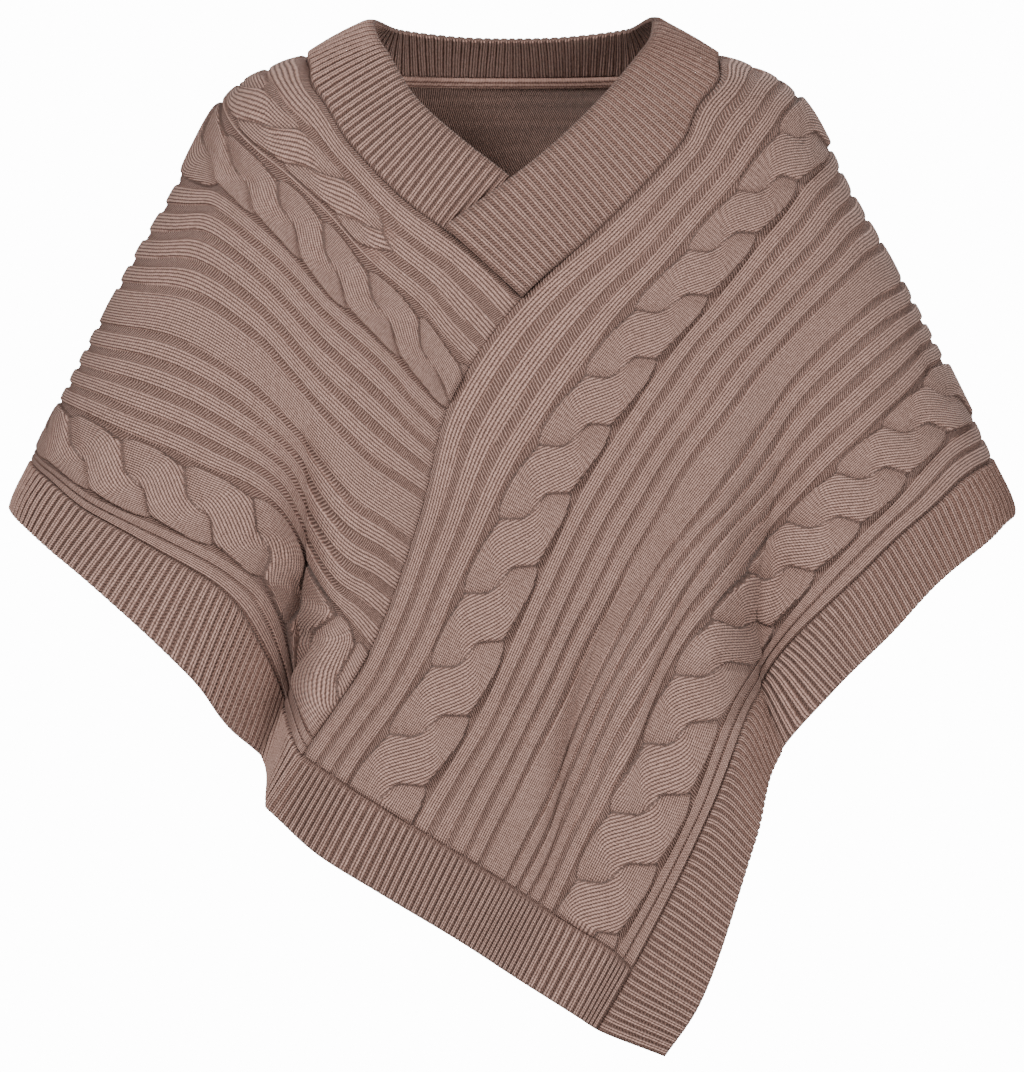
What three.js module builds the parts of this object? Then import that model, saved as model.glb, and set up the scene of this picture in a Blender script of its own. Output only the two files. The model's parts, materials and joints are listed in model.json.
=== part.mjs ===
// A knitted poncho sweater in its worn form, with nobody in it.
// One long strip is knitted sideways and wraps the body: it starts at a diagonal seam in
// front, runs round the left arm, across the back, over the right shoulder and down the
// front to a free end. Two rope cables and flat ribs run along the strip. Its neck edge
// takes a crossover collar, and its lower edge and free end take ribbed bands.
//
// Millimetres, +Z up, the front faces -Y. The origin is the middle of the neck, level with
// the points where the collar meets the shoulders.
import * as THREE from 'three';

// The cloth, across the strip from its neck edge
const PANEL_WIDTH = 375;
const BAND_WIDTH = 50;
const WALL = 2.4;
const RIB_RAISE = 2.0;
const RIB_WIDTH = 11.5;
const GUTTER_WIDTH = 7;
const SEAM_GAP = 0.5;
const DIAGONAL_GAP = 3.4;
const HEM_GAP = 1.2;

// The rope cables, each of two strands. The small one runs on the left front alone, from the
// shoulder down beside the collar, and sinks into the ribs there.
const CABLES = [
  { name: 'upper', centre: 82.5, width: 51, twist: 1, height: 1 },
  { name: 'lower', centre: 316.5, width: 51, twist: 1, height: 1 },
];
const SMALL_CABLE = { name: 'small', centre: 34, width: 26, twist: -1, height: 0.7 };
const STRAND_SWING = 0.5;
const STRAND_HALF = 0.54;
const STRAND_DOME = 3.4;
const STRAND_LIFT = 1.5;
const CABLE_ROWS = [-0.98, -0.7, -0.36, 0, 0.36, 0.7, 0.98];
const SMALL_ROWS = { start: 15, end: 53, extra: [28, 46] };
// The small cable stands from the section of this number to the shoulder fold
const SMALL_END = { section: 3, before: 15, after: 20, fold: 8, left: 0.4 };

// The first edge of each flat rib; the wide plain rib stands in the middle of the strip
const RIB_STARTS = [4, 22.4, 40.8, 113, 131.4, 149.8, 168.2, 219.5, 238, 256.4, 274.8, 347, 362.5];
const WIDE_RIB = { start: 186, end: 213 };

// Ribbing of the bands and the collar
const RIBBING_PITCH = 6.5;
const RIBBING_RAISE = 1.8;
const BAND_WALL = 2.4;
const COLLAR_WALL = 2.4;
const TAPE = { near: 1, far: 7.5, thick: 1.4, clear: 0.9, reach: 0.94 };

// Lengths of the steps along the strip; a step is shorter where the cloth bends
const STEP = { flat: 56, bend: 18, cable: 13, neck: 7, seam: 13, ribbing: RIBBING_PITCH / 2, tape: 14 };
const INSIDE_ROWS = [0, 10, 25, 45, 70, 105, 150, 200, 250, 300, 340, PANEL_WIDTH];
// Rows of points on a rib: in the gutter before it and on its two edges
const RIB_ROWS = [-3, 1, RIB_WIDTH - 1];
const RULE = {
  lines: 240, reach: 1.5, collar: 4, stretch: 12, edge: 8, trim: 1, collarMiddle: 0.3, foldFade: 3,
};

const FRONT_TURN = 0;
const LEFT_TURN = -90;
const RIGHT_TURN = -270;
const FULL_TURN = 360;

// Half width of the garment and its depth in front of and behind the shoulder line
const FORM = [
  { z: 30, half: 104, front: 30, back: 60 },
  { z: 2, half: 149, front: 42, back: 84 },
  { z: -5, half: 169, front: 50, back: 102 },
  { z: -18, half: 196, front: 66, back: 116 },
  { z: -36, half: 214, front: 83, back: 125 },
  { z: -66, half: 231, front: 98, back: 131 },
  { z: -89, half: 242, front: 106, back: 134 },
  { z: -148, half: 276, front: 117, back: 136 },
  { z: -243, half: 325, front: 125, back: 134 },
  { z: -295, half: 350, front: 128, back: 131 },
  { z: -331, half: 366, front: 130, back: 129 },
  { z: -420, half: 376, front: 133, back: 123 },
  { z: -560, half: 380, front: 131, back: 118 },
  { z: -740, half: 384, front: 124, back: 118 },
];

// Where the named lines of the strip lie across it
const LINES = {
  neck: 0, upperIn: 57, upperOut: 108, wide: 199.5, lowerIn: 291, lowerOut: 342,
  seam: PANEL_WIDTH, edge: PANEL_WIDTH + BAND_WIDTH,
};

// Sections across the strip, in order along it. Each names the point of every line: x and z
// in front, or a turn about the body and the heights alone at the sides and the back.
const LEFT_FRONT = [
  { neck: [-15, -154], upperIn: [-52, -206], upperOut: [-70, -234], wide: [-88, -325],
    lowerIn: [-118, -417], lowerOut: [-161, -448], seam: [-167, -470], edge: [-180, -517] },
  { neck: [-37, -135], upperIn: [-67, -187], upperOut: [-91, -211], wide: [-110, -309],
    lowerIn: [-132, -397], lowerOut: [-173, -405], seam: [-184, -432], edge: [-207, -492] },
  { neck: [-80, -103], upperIn: [-107, -151], upperOut: [-131, -175], wide: [-152, -262],
    lowerIn: [-175, -331], lowerOut: [-201, -370], seam: [-211, -391], edge: [-237, -453] },
  { neck: [-118, -64], upperIn: [-144, -110], upperOut: [-169, -133], wide: [-195, -218],
    lowerIn: [-227, -302], lowerOut: [-246, -346], seam: [-257, -362], edge: [-285, -407] },
  { neck: [-143, -26], upperIn: [-186, -74], upperOut: [-209, -98], wide: [-244, -190],
    lowerIn: [-280, -279], lowerOut: [-299, -323], seam: [-307, -334], edge: [-331, -367] },
  { neck: [-150, -4], upperIn: [-212, -43], upperOut: [-230, -91], wide: [-283, -184],
    lowerIn: [-322, -260], lowerOut: [-337, -298], seam: [-342, -306], edge: [-360, -340] },
];
const AROUND_BACK = [
  { turn: -90, neck: 2, upperIn: -33, upperOut: -89, wide: -182,
    lowerIn: -254, lowerOut: -286, seam: -295, edge: -331 },
  { turn: -120, neck: -4, upperIn: -50, upperOut: -102, wide: -189,
    lowerIn: -266, lowerOut: -306, seam: -325, edge: -366 },
  { turn: -148, neck: -9, upperIn: -60, upperOut: -113, wide: -203,
    lowerIn: -293, lowerOut: -343, seam: -374, edge: -423 },
  { turn: -180, neck: -11, upperIn: -64, upperOut: -115, wide: -207,
    lowerIn: -298, lowerOut: -349, seam: -382, edge: -432 },
  { turn: -212, neck: -9, upperIn: -59, upperOut: -109, wide: -200,
    lowerIn: -290, lowerOut: -340, seam: -372, edge: -421 },
  { turn: -240, neck: -4, upperIn: -44, upperOut: -88, wide: -173,
    lowerIn: -252, lowerOut: -297, seam: -324, edge: -367 },
  { turn: -270, neck: 1, upperIn: -28, upperOut: -65, wide: -148,
    lowerIn: -223, lowerOut: -263, seam: -292, edge: -332 },
];
const RIGHT_FRONT = [
  { neck: [152, -4], upperIn: [203, -38], upperOut: [228, -73], wide: [277, -153],
    lowerIn: [308, -228], lowerOut: [335, -267], seam: [349, -295], edge: [366, -336] },
  { neck: [144, -26], upperIn: [190, -57], upperOut: [215, -86], wide: [268, -159],
    lowerIn: [302, -234], lowerOut: [330, -270], seam: [343, -299], edge: [361, -341] },
  { neck: [125, -61], upperIn: [162, -96], upperOut: [191, -118], wide: [251, -173],
    lowerIn: [288, -249], lowerOut: [317, -279], seam: [331, -307], edge: [350, -353] },
  { neck: [65, -124], upperIn: [104, -165], upperOut: [135, -188], wide: [198, -226],
    lowerIn: [246, -291], lowerOut: [279, -321], seam: [291, -343], edge: [313, -384] },
  { neck: [7, -176], upperIn: [63, -214], upperOut: [96, -239], wide: [153, -289],
    lowerIn: [200, -338], lowerOut: [235, -367], seam: [250, -383], edge: [275, -425] },
  { neck: [-44, -250], upperIn: [11, -291], upperOut: [49, -313], wide: [111, -350],
    lowerIn: [153, -395], lowerOut: [190, -424], seam: [204, -429], edge: [237, -463] },
  { neck: [-67, -334], upperIn: [-27, -369], upperOut: [14, -388], wide: [72, -417],
    lowerIn: [117, -451], lowerOut: [158, -470], seam: [174, -473], edge: [195, -512] },
  { neck: [-101, -428], upperIn: [-66, -453], upperOut: [-25, -475], wide: [29, -506],
    lowerIn: [79, -533], lowerOut: [126, -555], seam: [146, -549], edge: [177, -577] },
  { neck: [-153, -511], upperIn: [-119, -534], upperOut: [-75, -561], wide: [-14, -598],
    lowerIn: [32, -628], lowerOut: [74, -654], seam: [88, -667], edge: [136, -697] },
  { neck: [-178, -551], upperIn: [-145, -582], upperOut: [-99, -611], wide: [-39, -647],
    lowerIn: [7, -677], lowerOut: [48, -703], seam: [62, -712], edge: [112, -732] },
];
// The strip's first section lies along the diagonal seam, on the right front's neck edge
const DIAGONAL_HEIGHTS = {
  neck: -176, upperIn: -227, upperOut: -257, wide: -338,
  lowerIn: -437, lowerOut: -498, seam: -512, edge: -551,
};

// How many crossings each cable has passed at the ends of the three panels, and low down on
// the right front
const CROSSINGS = {
  small: { diagonal: -1.7, leftFold: 3.7, rightFold: 13.5, low: 19, hem: 23.5 },
  upper: { diagonal: -0.05, leftFold: 6.03, rightFold: 15.95, low: 23.44, hem: 26.66 },
  lower: { diagonal: 0.46, leftFold: 7.7, rightFold: 22.94, low: 29.86, hem: 33.37 },
};

// Soft troughs (in, +) and ridges (out, -) of the hanging cloth
const FOLDS = [
  { name: 'left arm', side: 'front', leftSpread: 52, rightSpread: 17, line: [
    { z: -170, x: -140, depth: 0 }, { z: -265, x: -152, depth: 9 }, { z: -338, x: -147, depth: 17 },
    { z: -397, x: -150, depth: 25 }, { z: -441, x: -157, depth: 32 }, { z: -512, x: -184, depth: 38 },
    { z: -570, x: -205, depth: 38 }] },
  { name: 'right arm', side: 'front', leftSpread: 28, rightSpread: 50, line: [
    { z: -90, x: 265, depth: 0 }, { z: -198, x: 212, depth: 6 }, { z: -316, x: 193, depth: 15 },
    { z: -397, x: 175, depth: 24 }, { z: -456, x: 179, depth: 28 }, { z: -507, x: 196, depth: 26 },
    { z: -580, x: 215, depth: 18 }] },
  { name: 'right ridge', side: 'front', leftSpread: 24, rightSpread: 18, line: [
    { z: -210, x: 160, depth: 0 }, { z: -300, x: 148, depth: -9 }, { z: -400, x: 144, depth: -11 },
    { z: -480, x: 140, depth: -4 }, { z: -560, x: 135, depth: 0 }] },
  { name: 'middle', side: 'front', leftSpread: 26, rightSpread: 34, line: [
    { z: -380, x: 66, depth: 0 }, { z: -442, x: 44, depth: 8 }, { z: -494, x: 45, depth: 11 },
    { z: -562, x: 37, depth: 9 }, { z: -640, x: 30, depth: 0 }] },
  { name: 'left back', side: 'back', leftSpread: 55, rightSpread: 30, line: [
    { z: -110, x: -205, depth: 0 }, { z: -220, x: -184, depth: 8 }, { z: -330, x: -172, depth: 20 },
    { z: -440, x: -168, depth: 29 }] },
  { name: 'right back', side: 'back', leftSpread: 34, rightSpread: 52, line: [
    { z: -130, x: 210, depth: 0 }, { z: -250, x: 178, depth: 9 }, { z: -340, x: 160, depth: 18 },
    { z: -440, x: 154, depth: 24 }] },
  { name: 'middle back', side: 'back', leftSpread: 36, rightSpread: 46, line: [
    { z: -180, x: 8, depth: 0 }, { z: -300, x: -6, depth: 5 }, { z: -440, x: -14, depth: 12 }] },
];

// The collar's free edge, one row for each section of the strip from the diagonal to the V.
// The sink lays the hidden first end under the other.
const COLLAR_EDGE = [
  { x: 36, y: -99, z: -119, sink: 7 },
  { x: 18, y: -99, z: -103, sink: 5.5 },
  { x: 0, y: -98, z: -87, sink: 4 },
  { x: -42, y: -88, z: -54, sink: 0.5 },
  { x: -71, y: -66, z: -27, sink: 0 },
  { x: -90, y: -38, z: 4, sink: 0 },
  { x: -98, y: -18, z: 17, sink: 0 },
  { x: -101, y: 2, z: 27, sink: 0 },
  { x: -84, y: 38, z: 22, sink: 0 },
  { x: -48, y: 57, z: 17, sink: 0 },
  { x: 0, y: 63, z: 15, sink: 0 },
  { x: 48, y: 57, z: 17, sink: 0 },
  { x: 85, y: 38, z: 22, sink: 0 },
  { x: 103, y: 2, z: 27, sink: 0 },
  { x: 101, y: -18, z: 17, sink: 0 },
  { x: 93, y: -36, z: 5, sink: 0 },
  { x: 74, y: -62, z: -18, sink: 0 },
  { x: 19, y: -103, z: -71, sink: 0 },
  { x: -51, y: -121, z: -123, sink: -5 },
];

const YARN = 0x9c8078;
const BAND_YARN = 0x977a72;

// The slope at each knot of a smooth curve that adds no humps of its own
function gentleSlopes(at, values) {
  const steps = values.slice(1).map((value, i) => (value - values[i]) / (at[i + 1] - at[i]));
  return values.map((_, i) => {
    if (i === 0) return steps[0];
    if (i === values.length - 1) return steps[i - 1];
    const [before, after] = [steps[i - 1], steps[i]];
    if (before * after <= 0) return 0;
    const [near, far] = [at[i] - at[i - 1], at[i + 1] - at[i]];
    const [a, b] = [2 * far + near, far + 2 * near];
    return (a + b) / (a / before + b / after);
  });
}

// The slope at each knot of a smooth curve that passes freely through its points
function freeSlopes(at, values) {
  return values.map((_, i) => {
    const before = Math.max(i - 1, 0);
    const after = Math.min(i + 1, values.length - 1);
    if (after - before < 2) return (values[after] - values[before]) / (at[after] - at[before]);
    const near = (values[i] - values[before]) / (at[i] - at[before]);
    const far = (values[after] - values[i]) / (at[after] - at[i]);
    const share = (at[i] - at[before]) / (at[after] - at[before]);
    return near * (1 - share) + far * share;
  });
}

// A smooth function through values at rising places, held level past both ends
function smoothCurve(at, values, slopesOf = gentleSlopes) {
  const slopes = slopesOf(at, values);
  return (place) => {
    const here = THREE.MathUtils.clamp(place, at[0], at[at.length - 1]);
    let i = 0;
    while (i < at.length - 2 && here > at[i + 1]) i += 1;
    const span = at[i + 1] - at[i];
    const t = (here - at[i]) / span;
    const [t2, t3] = [t * t, t * t * t];
    return values[i] * (2 * t3 - 3 * t2 + 1) + slopes[i] * span * (t3 - 2 * t2 + t)
      + values[i + 1] * (3 * t2 - 2 * t3) + slopes[i + 1] * span * (t3 - t2);
  };
}

// A smooth function of height from the rows of a table
function byHeight(rows, column) {
  const rising = [...rows].sort((a, b) => a.z - b.z);
  return smoothCurve(rising.map((row) => row.z), rising.map((row) => row[column]));
}

// Values from start to end, in equal steps of at most the given length
function evenSteps(start, end, step) {
  const count = Math.max(2, Math.ceil((end - start) / step));
  return Array.from({ length: count + 1 }, (_, i) => start + ((end - start) * i) / count);
}

const formHalf = byHeight(FORM, 'half');
const formFront = byHeight(FORM, 'front');
const formBack = byHeight(FORM, 'back');
const folds = FOLDS.map((fold) => ({
  ...fold, lineX: byHeight(fold.line, 'x'), depth: byHeight(fold.line, 'depth'),
}));

// How far the folds push the cloth in at a place on the front or the back
function foldDepth(side, x, z) {
  return folds.filter((fold) => fold.side === side).reduce((sum, fold) => {
    const away = x - fold.lineX(z);
    const spread = away < 0 ? fold.leftSpread : fold.rightSpread;
    return sum + fold.depth(z) * Math.exp(-((away / spread) ** 2));
  }, 0);
}

// The point of the cloth's inside face at a turn about the body, in degrees, and a height
function formPoint(turn, z) {
  const angle = THREE.MathUtils.degToRad(turn);
  const facing = Math.cos(angle);
  const x = formHalf(z) * Math.sin(angle);
  const side = facing > 0 ? 'front' : 'back';
  const depth = facing > 0 ? formFront(z) : formBack(z);
  const fold = foldDepth(side, x, z) * THREE.MathUtils.clamp(facing * RULE.foldFade, -1, 1);
  return new THREE.Vector3(x, fold - depth * facing, z);
}

// The turn at which the front of the form passes through x at a height
function frontTurn(x, z, base) {
  return base + THREE.MathUtils.radToDeg(Math.asin(THREE.MathUtils.clamp(x / formHalf(z), -1, 1)));
}

const LINE_NAMES = Object.keys(LINES);
const LINE_PLACES = Object.values(LINES);

// A section as two smooth functions of the distance across the strip
function frontSection(row, base) {
  const turns = LINE_NAMES.map((line) => frontTurn(row[line][0], row[line][1], base));
  const heights = LINE_NAMES.map((line) => row[line][1]);
  return { turn: smoothCurve(LINE_PLACES, turns), z: smoothCurve(LINE_PLACES, heights) };
}

function backSection(row) {
  const heights = LINE_NAMES.map((line) => row[line]);
  return { turn: () => row.turn, z: smoothCurve(LINE_PLACES, heights) };
}

const rightSections = RIGHT_FRONT.map((row) => frontSection(row, -FULL_TURN));

// Mean distance between neighbouring sections, which measures the way along the strip
function sectionPlaces(list) {
  const places = [0];
  for (let i = 1; i < list.length; i += 1) {
    const gaps = LINE_PLACES.map((across) => {
      const [near, far] = [list[i - 1], list[i]];
      const turns = [near.turn(across), far.turn(across)];
      const heights = [near.z(across), far.z(across)];
      const start = formPoint(turns[0], heights[0]);
      const middle = formPoint((turns[0] + turns[1]) / 2, (heights[0] + heights[1]) / 2);
      const end = formPoint(turns[1], heights[1]);
      return start.distanceTo(middle) + middle.distanceTo(end);
    });
    places.push(places[i - 1] + gaps.reduce((sum, gap) => sum + gap, 0) / gaps.length);
  }
  return places;
}

// The diagonal section follows the right front's neck edge, so that the two meet in a seam
function diagonalSection() {
  const places = sectionPlaces(rightSections);
  const turn = smoothCurve(places, rightSections.map((section) => section.turn(0)), freeSlopes);
  const z = smoothCurve(places, rightSections.map((section) => section.z(0)), freeSlopes);
  const edge = evenSteps(0, places[places.length - 1], RULE.edge)
    .map((place) => ({ z: z(place), turn: turn(place) }));
  const turnAt = byHeight(edge, 'turn');
  const height = smoothCurve(LINE_PLACES, LINE_NAMES.map((line) => DIAGONAL_HEIGHTS[line]));
  return { turn: (across) => turnAt(height(across)) + FULL_TURN, z: height };
}

const sections = [
  diagonalSection(),
  ...LEFT_FRONT.map((row) => frontSection(row, FRONT_TURN)),
  ...AROUND_BACK.map(backSection),
  ...rightSections,
];
const LEFT_FOLD = 1 + LEFT_FRONT.length + AROUND_BACK.findIndex((row) => row.turn === LEFT_TURN);
const RIGHT_FOLD = 1 + LEFT_FRONT.length + AROUND_BACK.findIndex((row) => row.turn === RIGHT_TURN);
const V_SECTION = RIGHT_FOLD + 5;
const LOW_SECTION = V_SECTION + 2;
const HEM_SECTION = sections.length - 2;
const LAST_SECTION = sections.length - 1;

const PLACES = sectionPlaces(sections);
const lineCache = new Map();

// The line that runs along the strip at one distance across it
function stripLine(across) {
  const key = across.toFixed(3);
  if (!lineCache.has(key)) {
    const turns = sections.map((section) => section.turn(across));
    const heights = sections.map((section) => section.z(across));
    const turn = smoothCurve(PLACES, turns, freeSlopes);
    const z = smoothCurve(PLACES, heights, freeSlopes);
    lineCache.set(key, (along) => formPoint(turn(along), z(along)));
  }
  return lineCache.get(key);
}

// The way out of the cloth at a place on the strip
function stripNormal(along, across) {
  const { reach } = RULE;
  const [first, last] = [PLACES[0], PLACES[PLACES.length - 1]];
  const ahead = stripLine(across)(Math.min(along + reach, last));
  const behind = stripLine(across)(Math.max(along - reach, first));
  const outward = stripLine(Math.min(across + reach, LINES.edge))(along);
  const inward = stripLine(Math.max(across - reach, 0))(along);
  return ahead.sub(behind).cross(outward.sub(inward)).normalize();
}

// A point of the strip, lifted off its inside face
function stripPoint(along, across, lift = 0) {
  const point = stripLine(across)(along);
  return lift === 0 ? point : point.addScaledVector(stripNormal(along, across), lift);
}

// Places along a curve from start to end, evenly spaced by what measure makes of each short
// stretch of it, one step being 1
function measuredPlaces(start, end, curve, measure) {
  const fine = evenSteps(start, end, (end - start) / RULE.lines);
  const points = fine.map(curve);
  const totals = [0];
  for (let i = 1; i < points.length; i += 1) {
    const before = points[Math.max(i - 2, 0)];
    totals.push(totals[i - 1] + measure(before, points[i - 1], points[i]));
  }
  const total = totals[totals.length - 1];
  return evenSteps(0, total, 1).map((goal) => {
    let i = 1;
    while (i < totals.length - 1 && totals[i] < goal) i += 1;
    const share = (goal - totals[i - 1]) / (totals[i] - totals[i - 1]);
    return fine[i - 1] + (fine[i] - fine[i - 1]) * THREE.MathUtils.clamp(share, 0, 1);
  });
}

// Equal lengths along a curve
function lengthPlaces(start, end, curve, step) {
  return measuredPlaces(start, end, curve, (_, from, to) => from.distanceTo(to) / step);
}

// Long steps where the strip is flat and shorter ones where it bends
function bendPlaces(start, end) {
  const measure = (before, from, to) => {
    const [come, go] = [from.clone().sub(before), to.clone().sub(from)];
    const bend = come.lengthSq() > 0 ? THREE.MathUtils.radToDeg(come.angleTo(go)) : 0;
    return go.length() / STEP.flat + bend / STEP.bend;
  };
  return measuredPlaces(start, end, stripLine(LINES.wide), measure);
}

// Crossings that a cable has passed at a place along the strip, even by length in each panel
function crossingCount(cable) {
  const marks = CROSSINGS[cable.name];
  const ends = [0, LEFT_FOLD, RIGHT_FOLD, LOW_SECTION, HEM_SECTION].map((index) => PLACES[index]);
  const counts = [marks.diagonal, marks.leftFold, marks.rightFold, marks.low, marks.hem];
  const line = stripLine(cable.centre);
  const places = [0];
  const passed = [counts[0]];
  for (let panelEnd = 1; panelEnd < ends.length; panelEnd += 1) {
    const stretch = evenSteps(ends[panelEnd - 1], ends[panelEnd], RULE.stretch);
    const steps = stretch.slice(1).map((place, i) => line(place).distanceTo(line(stretch[i])));
    const total = steps.reduce((sum, step) => sum + step, 0);
    const rate = (counts[panelEnd] - counts[panelEnd - 1]) / total;
    steps.forEach((step, i) => {
      places.push(stretch[i + 1]);
      passed.push(passed[passed.length - 1] + step * rate);
    });
  }
  return smoothCurve(places, passed);
}

const cables = [...CABLES, SMALL_CABLE].map((cable) => ({ ...cable, count: crossingCount(cable) }));
const [upperCable, lowerCable, smallCable] = cables;

// Height of a rope cable over the cloth: the higher of its two strands, each a rounded band
// that swings from side to side and rides over the other as it heads for the neck edge
function cableRaise(cable, along, across) {
  const offset = (cable.twist * (across - cable.centre)) / (cable.width / 2);
  const turn = Math.PI * cable.count(along);
  let raise = 0;
  for (const phase of [0, Math.PI]) {
    const swing = STRAND_SWING * Math.sin(turn + phase);
    const over = -Math.cos(turn + phase);
    const away = Math.abs(offset - swing) / STRAND_HALF;
    if (away < 1) {
      const dome = Math.sqrt(1 - away ** 2);
      raise = Math.max(raise, (STRAND_DOME + STRAND_LIFT * (1 + over)) * dome);
    }
  }
  return raise * cable.height;
}

function ribRaise(across) {
  const onRib = RIB_STARTS.some((start) => across > start && across < start + RIB_WIDTH);
  const onWide = across > WIDE_RIB.start && across < WIDE_RIB.end;
  return onRib || onWide ? RIB_RAISE : 0;
}

// How much of the small cable stands at a place along: none at the diagonal and on the back
const smallPlace = PLACES[SMALL_END.section];
const smallShare = smoothCurve([
  smallPlace - SMALL_END.before, smallPlace + SMALL_END.after,
  PLACES[LEFT_FOLD] - SMALL_END.fold, PLACES[LEFT_FOLD],
], [0, 1, 1, SMALL_END.left]);
const isOn = (cable, across) => Math.abs(across - cable.centre) < cable.width / 2;

// How far the knitting stands out from the wall at a place on the strip
function relief(along, across) {
  const cable = [upperCable, lowerCable].find((each) => isOn(each, across));
  if (cable) return cableRaise(cable, along, across);
  const onSmall = isOn(smallCable, across) && along < PLACES[LEFT_FOLD];
  const share = onSmall ? smallShare(along) : 0;
  return ribRaise(across) * (1 - share) + cableRaise(smallCable, along, across) * share;
}

// Close places, for an edge that a seam joins to another piece
function edgePlaces(start, end, across) {
  return lengthPlaces(start, end, stripLine(across), across === 0 ? STEP.neck : STEP.seam);
}

// The rows of one panel: the distances across, each with its places along
function panelRows(start, end) {
  const bends = bendPlaces(start, end);
  const placesOn = (cable) => lengthPlaces(start, end, stripLine(cable.centre), STEP.cable);
  const rows = [0, PANEL_WIDTH].map((across) => ({ across, places: edgePlaces(start, end, across) }));
  const wide = [WIDE_RIB.start - GUTTER_WIDTH / 2, WIDE_RIB.start + 1, WIDE_RIB.end - 1];
  const ribs = RIB_STARTS.flatMap((first) => RIB_ROWS.map((offset) => first + offset));
  [...wide, ...ribs].forEach((across) => rows.push({ across, places: bends }));
  [upperCable, lowerCable].forEach((cable) => CABLE_ROWS.forEach((share) => {
    rows.push({ across: cable.centre + (share * cable.width) / 2, places: placesOn(cable) });
  }));
  if (end <= PLACES[LEFT_FOLD]) {
    const places = placesOn(smallCable);
    rows.filter(({ across }) => across > SMALL_ROWS.start && across < SMALL_ROWS.end)
      .forEach((row) => { row.places = places; });
    SMALL_ROWS.extra.forEach((across) => rows.push({ across, places }));
  }
  return rows.sort((a, b) => a.across - b.across);
}

// A closed solid made from rows of points, joined row to row by triangles
class KnitSolid {
  constructor() {
    this.points = [];
    this.index = [];
  }

  // Adds a row; each point has a place that orders it against the next row's points
  addRow(samples) {
    return samples.map(({ place, point }) => {
      this.points.push(point.x, point.y, point.z);
      return { place, id: this.points.length / 3 - 1 };
    });
  }

  // Fills the strip between two rows, whatever their numbers of points
  join(near, far) {
    let [i, j] = [0, 0];
    while (i < near.length - 1 || j < far.length - 1) {
      const nextNear = i < near.length - 1 ? near[i + 1].place : Infinity;
      const nextFar = j < far.length - 1 ? far[j + 1].place : Infinity;
      if (nextNear <= nextFar) {
        this.index.push(near[i].id, near[i + 1].id, far[j].id);
        i += 1;
      } else {
        this.index.push(near[i].id, far[j + 1].id, far[j].id);
        j += 1;
      }
    }
  }

  // Closes a wall whose outside and inside are lists of rows that run the same way
  closeWall(outside, inside) {
    for (let i = 1; i < outside.length; i += 1) this.join(outside[i - 1], outside[i]);
    for (let i = 1; i < inside.length; i += 1) this.join(inside[i], inside[i - 1]);
    this.join(inside[0], outside[0]);
    this.join(outside[outside.length - 1], inside[inside.length - 1]);
    const end = (rows, which) => rows.map((row, i) => (
      { place: i / (rows.length - 1), id: row.at(which).id }
    ));
    this.join(end(outside, 0), end(inside, 0));
    this.join(end(inside, -1), end(outside, -1));
  }

  mesh(name, colour) {
    const geometry = new THREE.BufferGeometry();
    geometry.setAttribute('position', new THREE.Float32BufferAttribute(this.points, 3));
    geometry.setIndex(this.signedVolume() < 0 ? this.index.reverse() : this.index);
    geometry.computeVertexNormals();
    const material = new THREE.MeshStandardMaterial({ color: colour, roughness: 0.95, metalness: 0 });
    const mesh = new THREE.Mesh(geometry, material);
    mesh.name = name;
    return mesh;
  }

  signedVolume() {
    const corner = (i) => new THREE.Vector3().fromArray(this.points, 3 * this.index[i]);
    let volume = 0;
    for (let i = 0; i < this.index.length; i += 3) {
      volume += corner(i).dot(corner(i + 1).cross(corner(i + 2))) / 6;
    }
    return volume;
  }
}

// One row of a wall on the strip: its samples along, at one distance across
function alongRow(solid, places, across, liftAt) {
  return solid.addRow(places.map((along) => ({
    place: along, point: stripPoint(along, across, liftAt(along)),
  })));
}

// A knitted panel: ribs and cables raised outside, plain inside
function panel(name, start, end) {
  const solid = new KnitSolid();
  const outside = panelRows(start, end).map(({ across, places }) => alongRow(
    solid, places, across, (along) => WALL + relief(along, across),
  ));
  const bends = bendPlaces(start, end);
  const inside = INSIDE_ROWS.map((across) => {
    const onEdge = across === 0 || across === PANEL_WIDTH;
    return alongRow(solid, onEdge ? edgePlaces(start, end, across) : bends, across, () => 0);
  });
  solid.closeWall(outside, inside);
  return solid.mesh(name, YARN);
}

// Lifts that alternate between rib and gutter
const ribbing = (count) => (i) => (i % 2 === 0 && i < count ? RIBBING_RAISE : 0);

// A ribbed band along the strip's lower edge
function edgeBand(name, start, end) {
  const solid = new KnitSolid();
  const [near, far] = [PANEL_WIDTH + SEAM_GAP, PANEL_WIDTH + BAND_WIDTH];
  const places = lengthPlaces(start, end, stripLine(near), STEP.ribbing);
  const raise = ribbing(places.length);
  const outside = [near, far].map((across) => solid.addRow(places.map((along, i) => ({
    place: along, point: stripPoint(along, across, BAND_WALL + raise(i)),
  }))));
  const inside = [near, far].map(
    (across) => alongRow(solid, edgePlaces(start, end, across), across, () => 0),
  );
  solid.closeWall(outside, inside);
  return solid.mesh(name, BAND_YARN);
}

// The ribbed band on the strip's free end; its rows run across the strip
function hemBand(name) {
  const solid = new KnitSolid();
  const [near, far] = [PLACES[HEM_SECTION] + HEM_GAP, PLACES[LAST_SECTION]];
  const [start, end] = [SEAM_GAP, PANEL_WIDTH - SEAM_GAP];
  const topLine = (across) => stripPoint(near, across);
  const places = lengthPlaces(start, end, topLine, STEP.ribbing);
  const raise = ribbing(places.length);
  const outside = [near, far].map((along) => solid.addRow(places.map((across, i) => ({
    place: across, point: stripPoint(along, across, BAND_WALL + raise(i)),
  }))));
  const inside = [near, far].map((along) => solid.addRow(evenSteps(start, end, STEP.flat).map(
    (across) => ({ place: across, point: stripPoint(along, across, 0) }),
  )));
  solid.closeWall(outside, inside);
  return solid.mesh(name, BAND_YARN);
}

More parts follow.
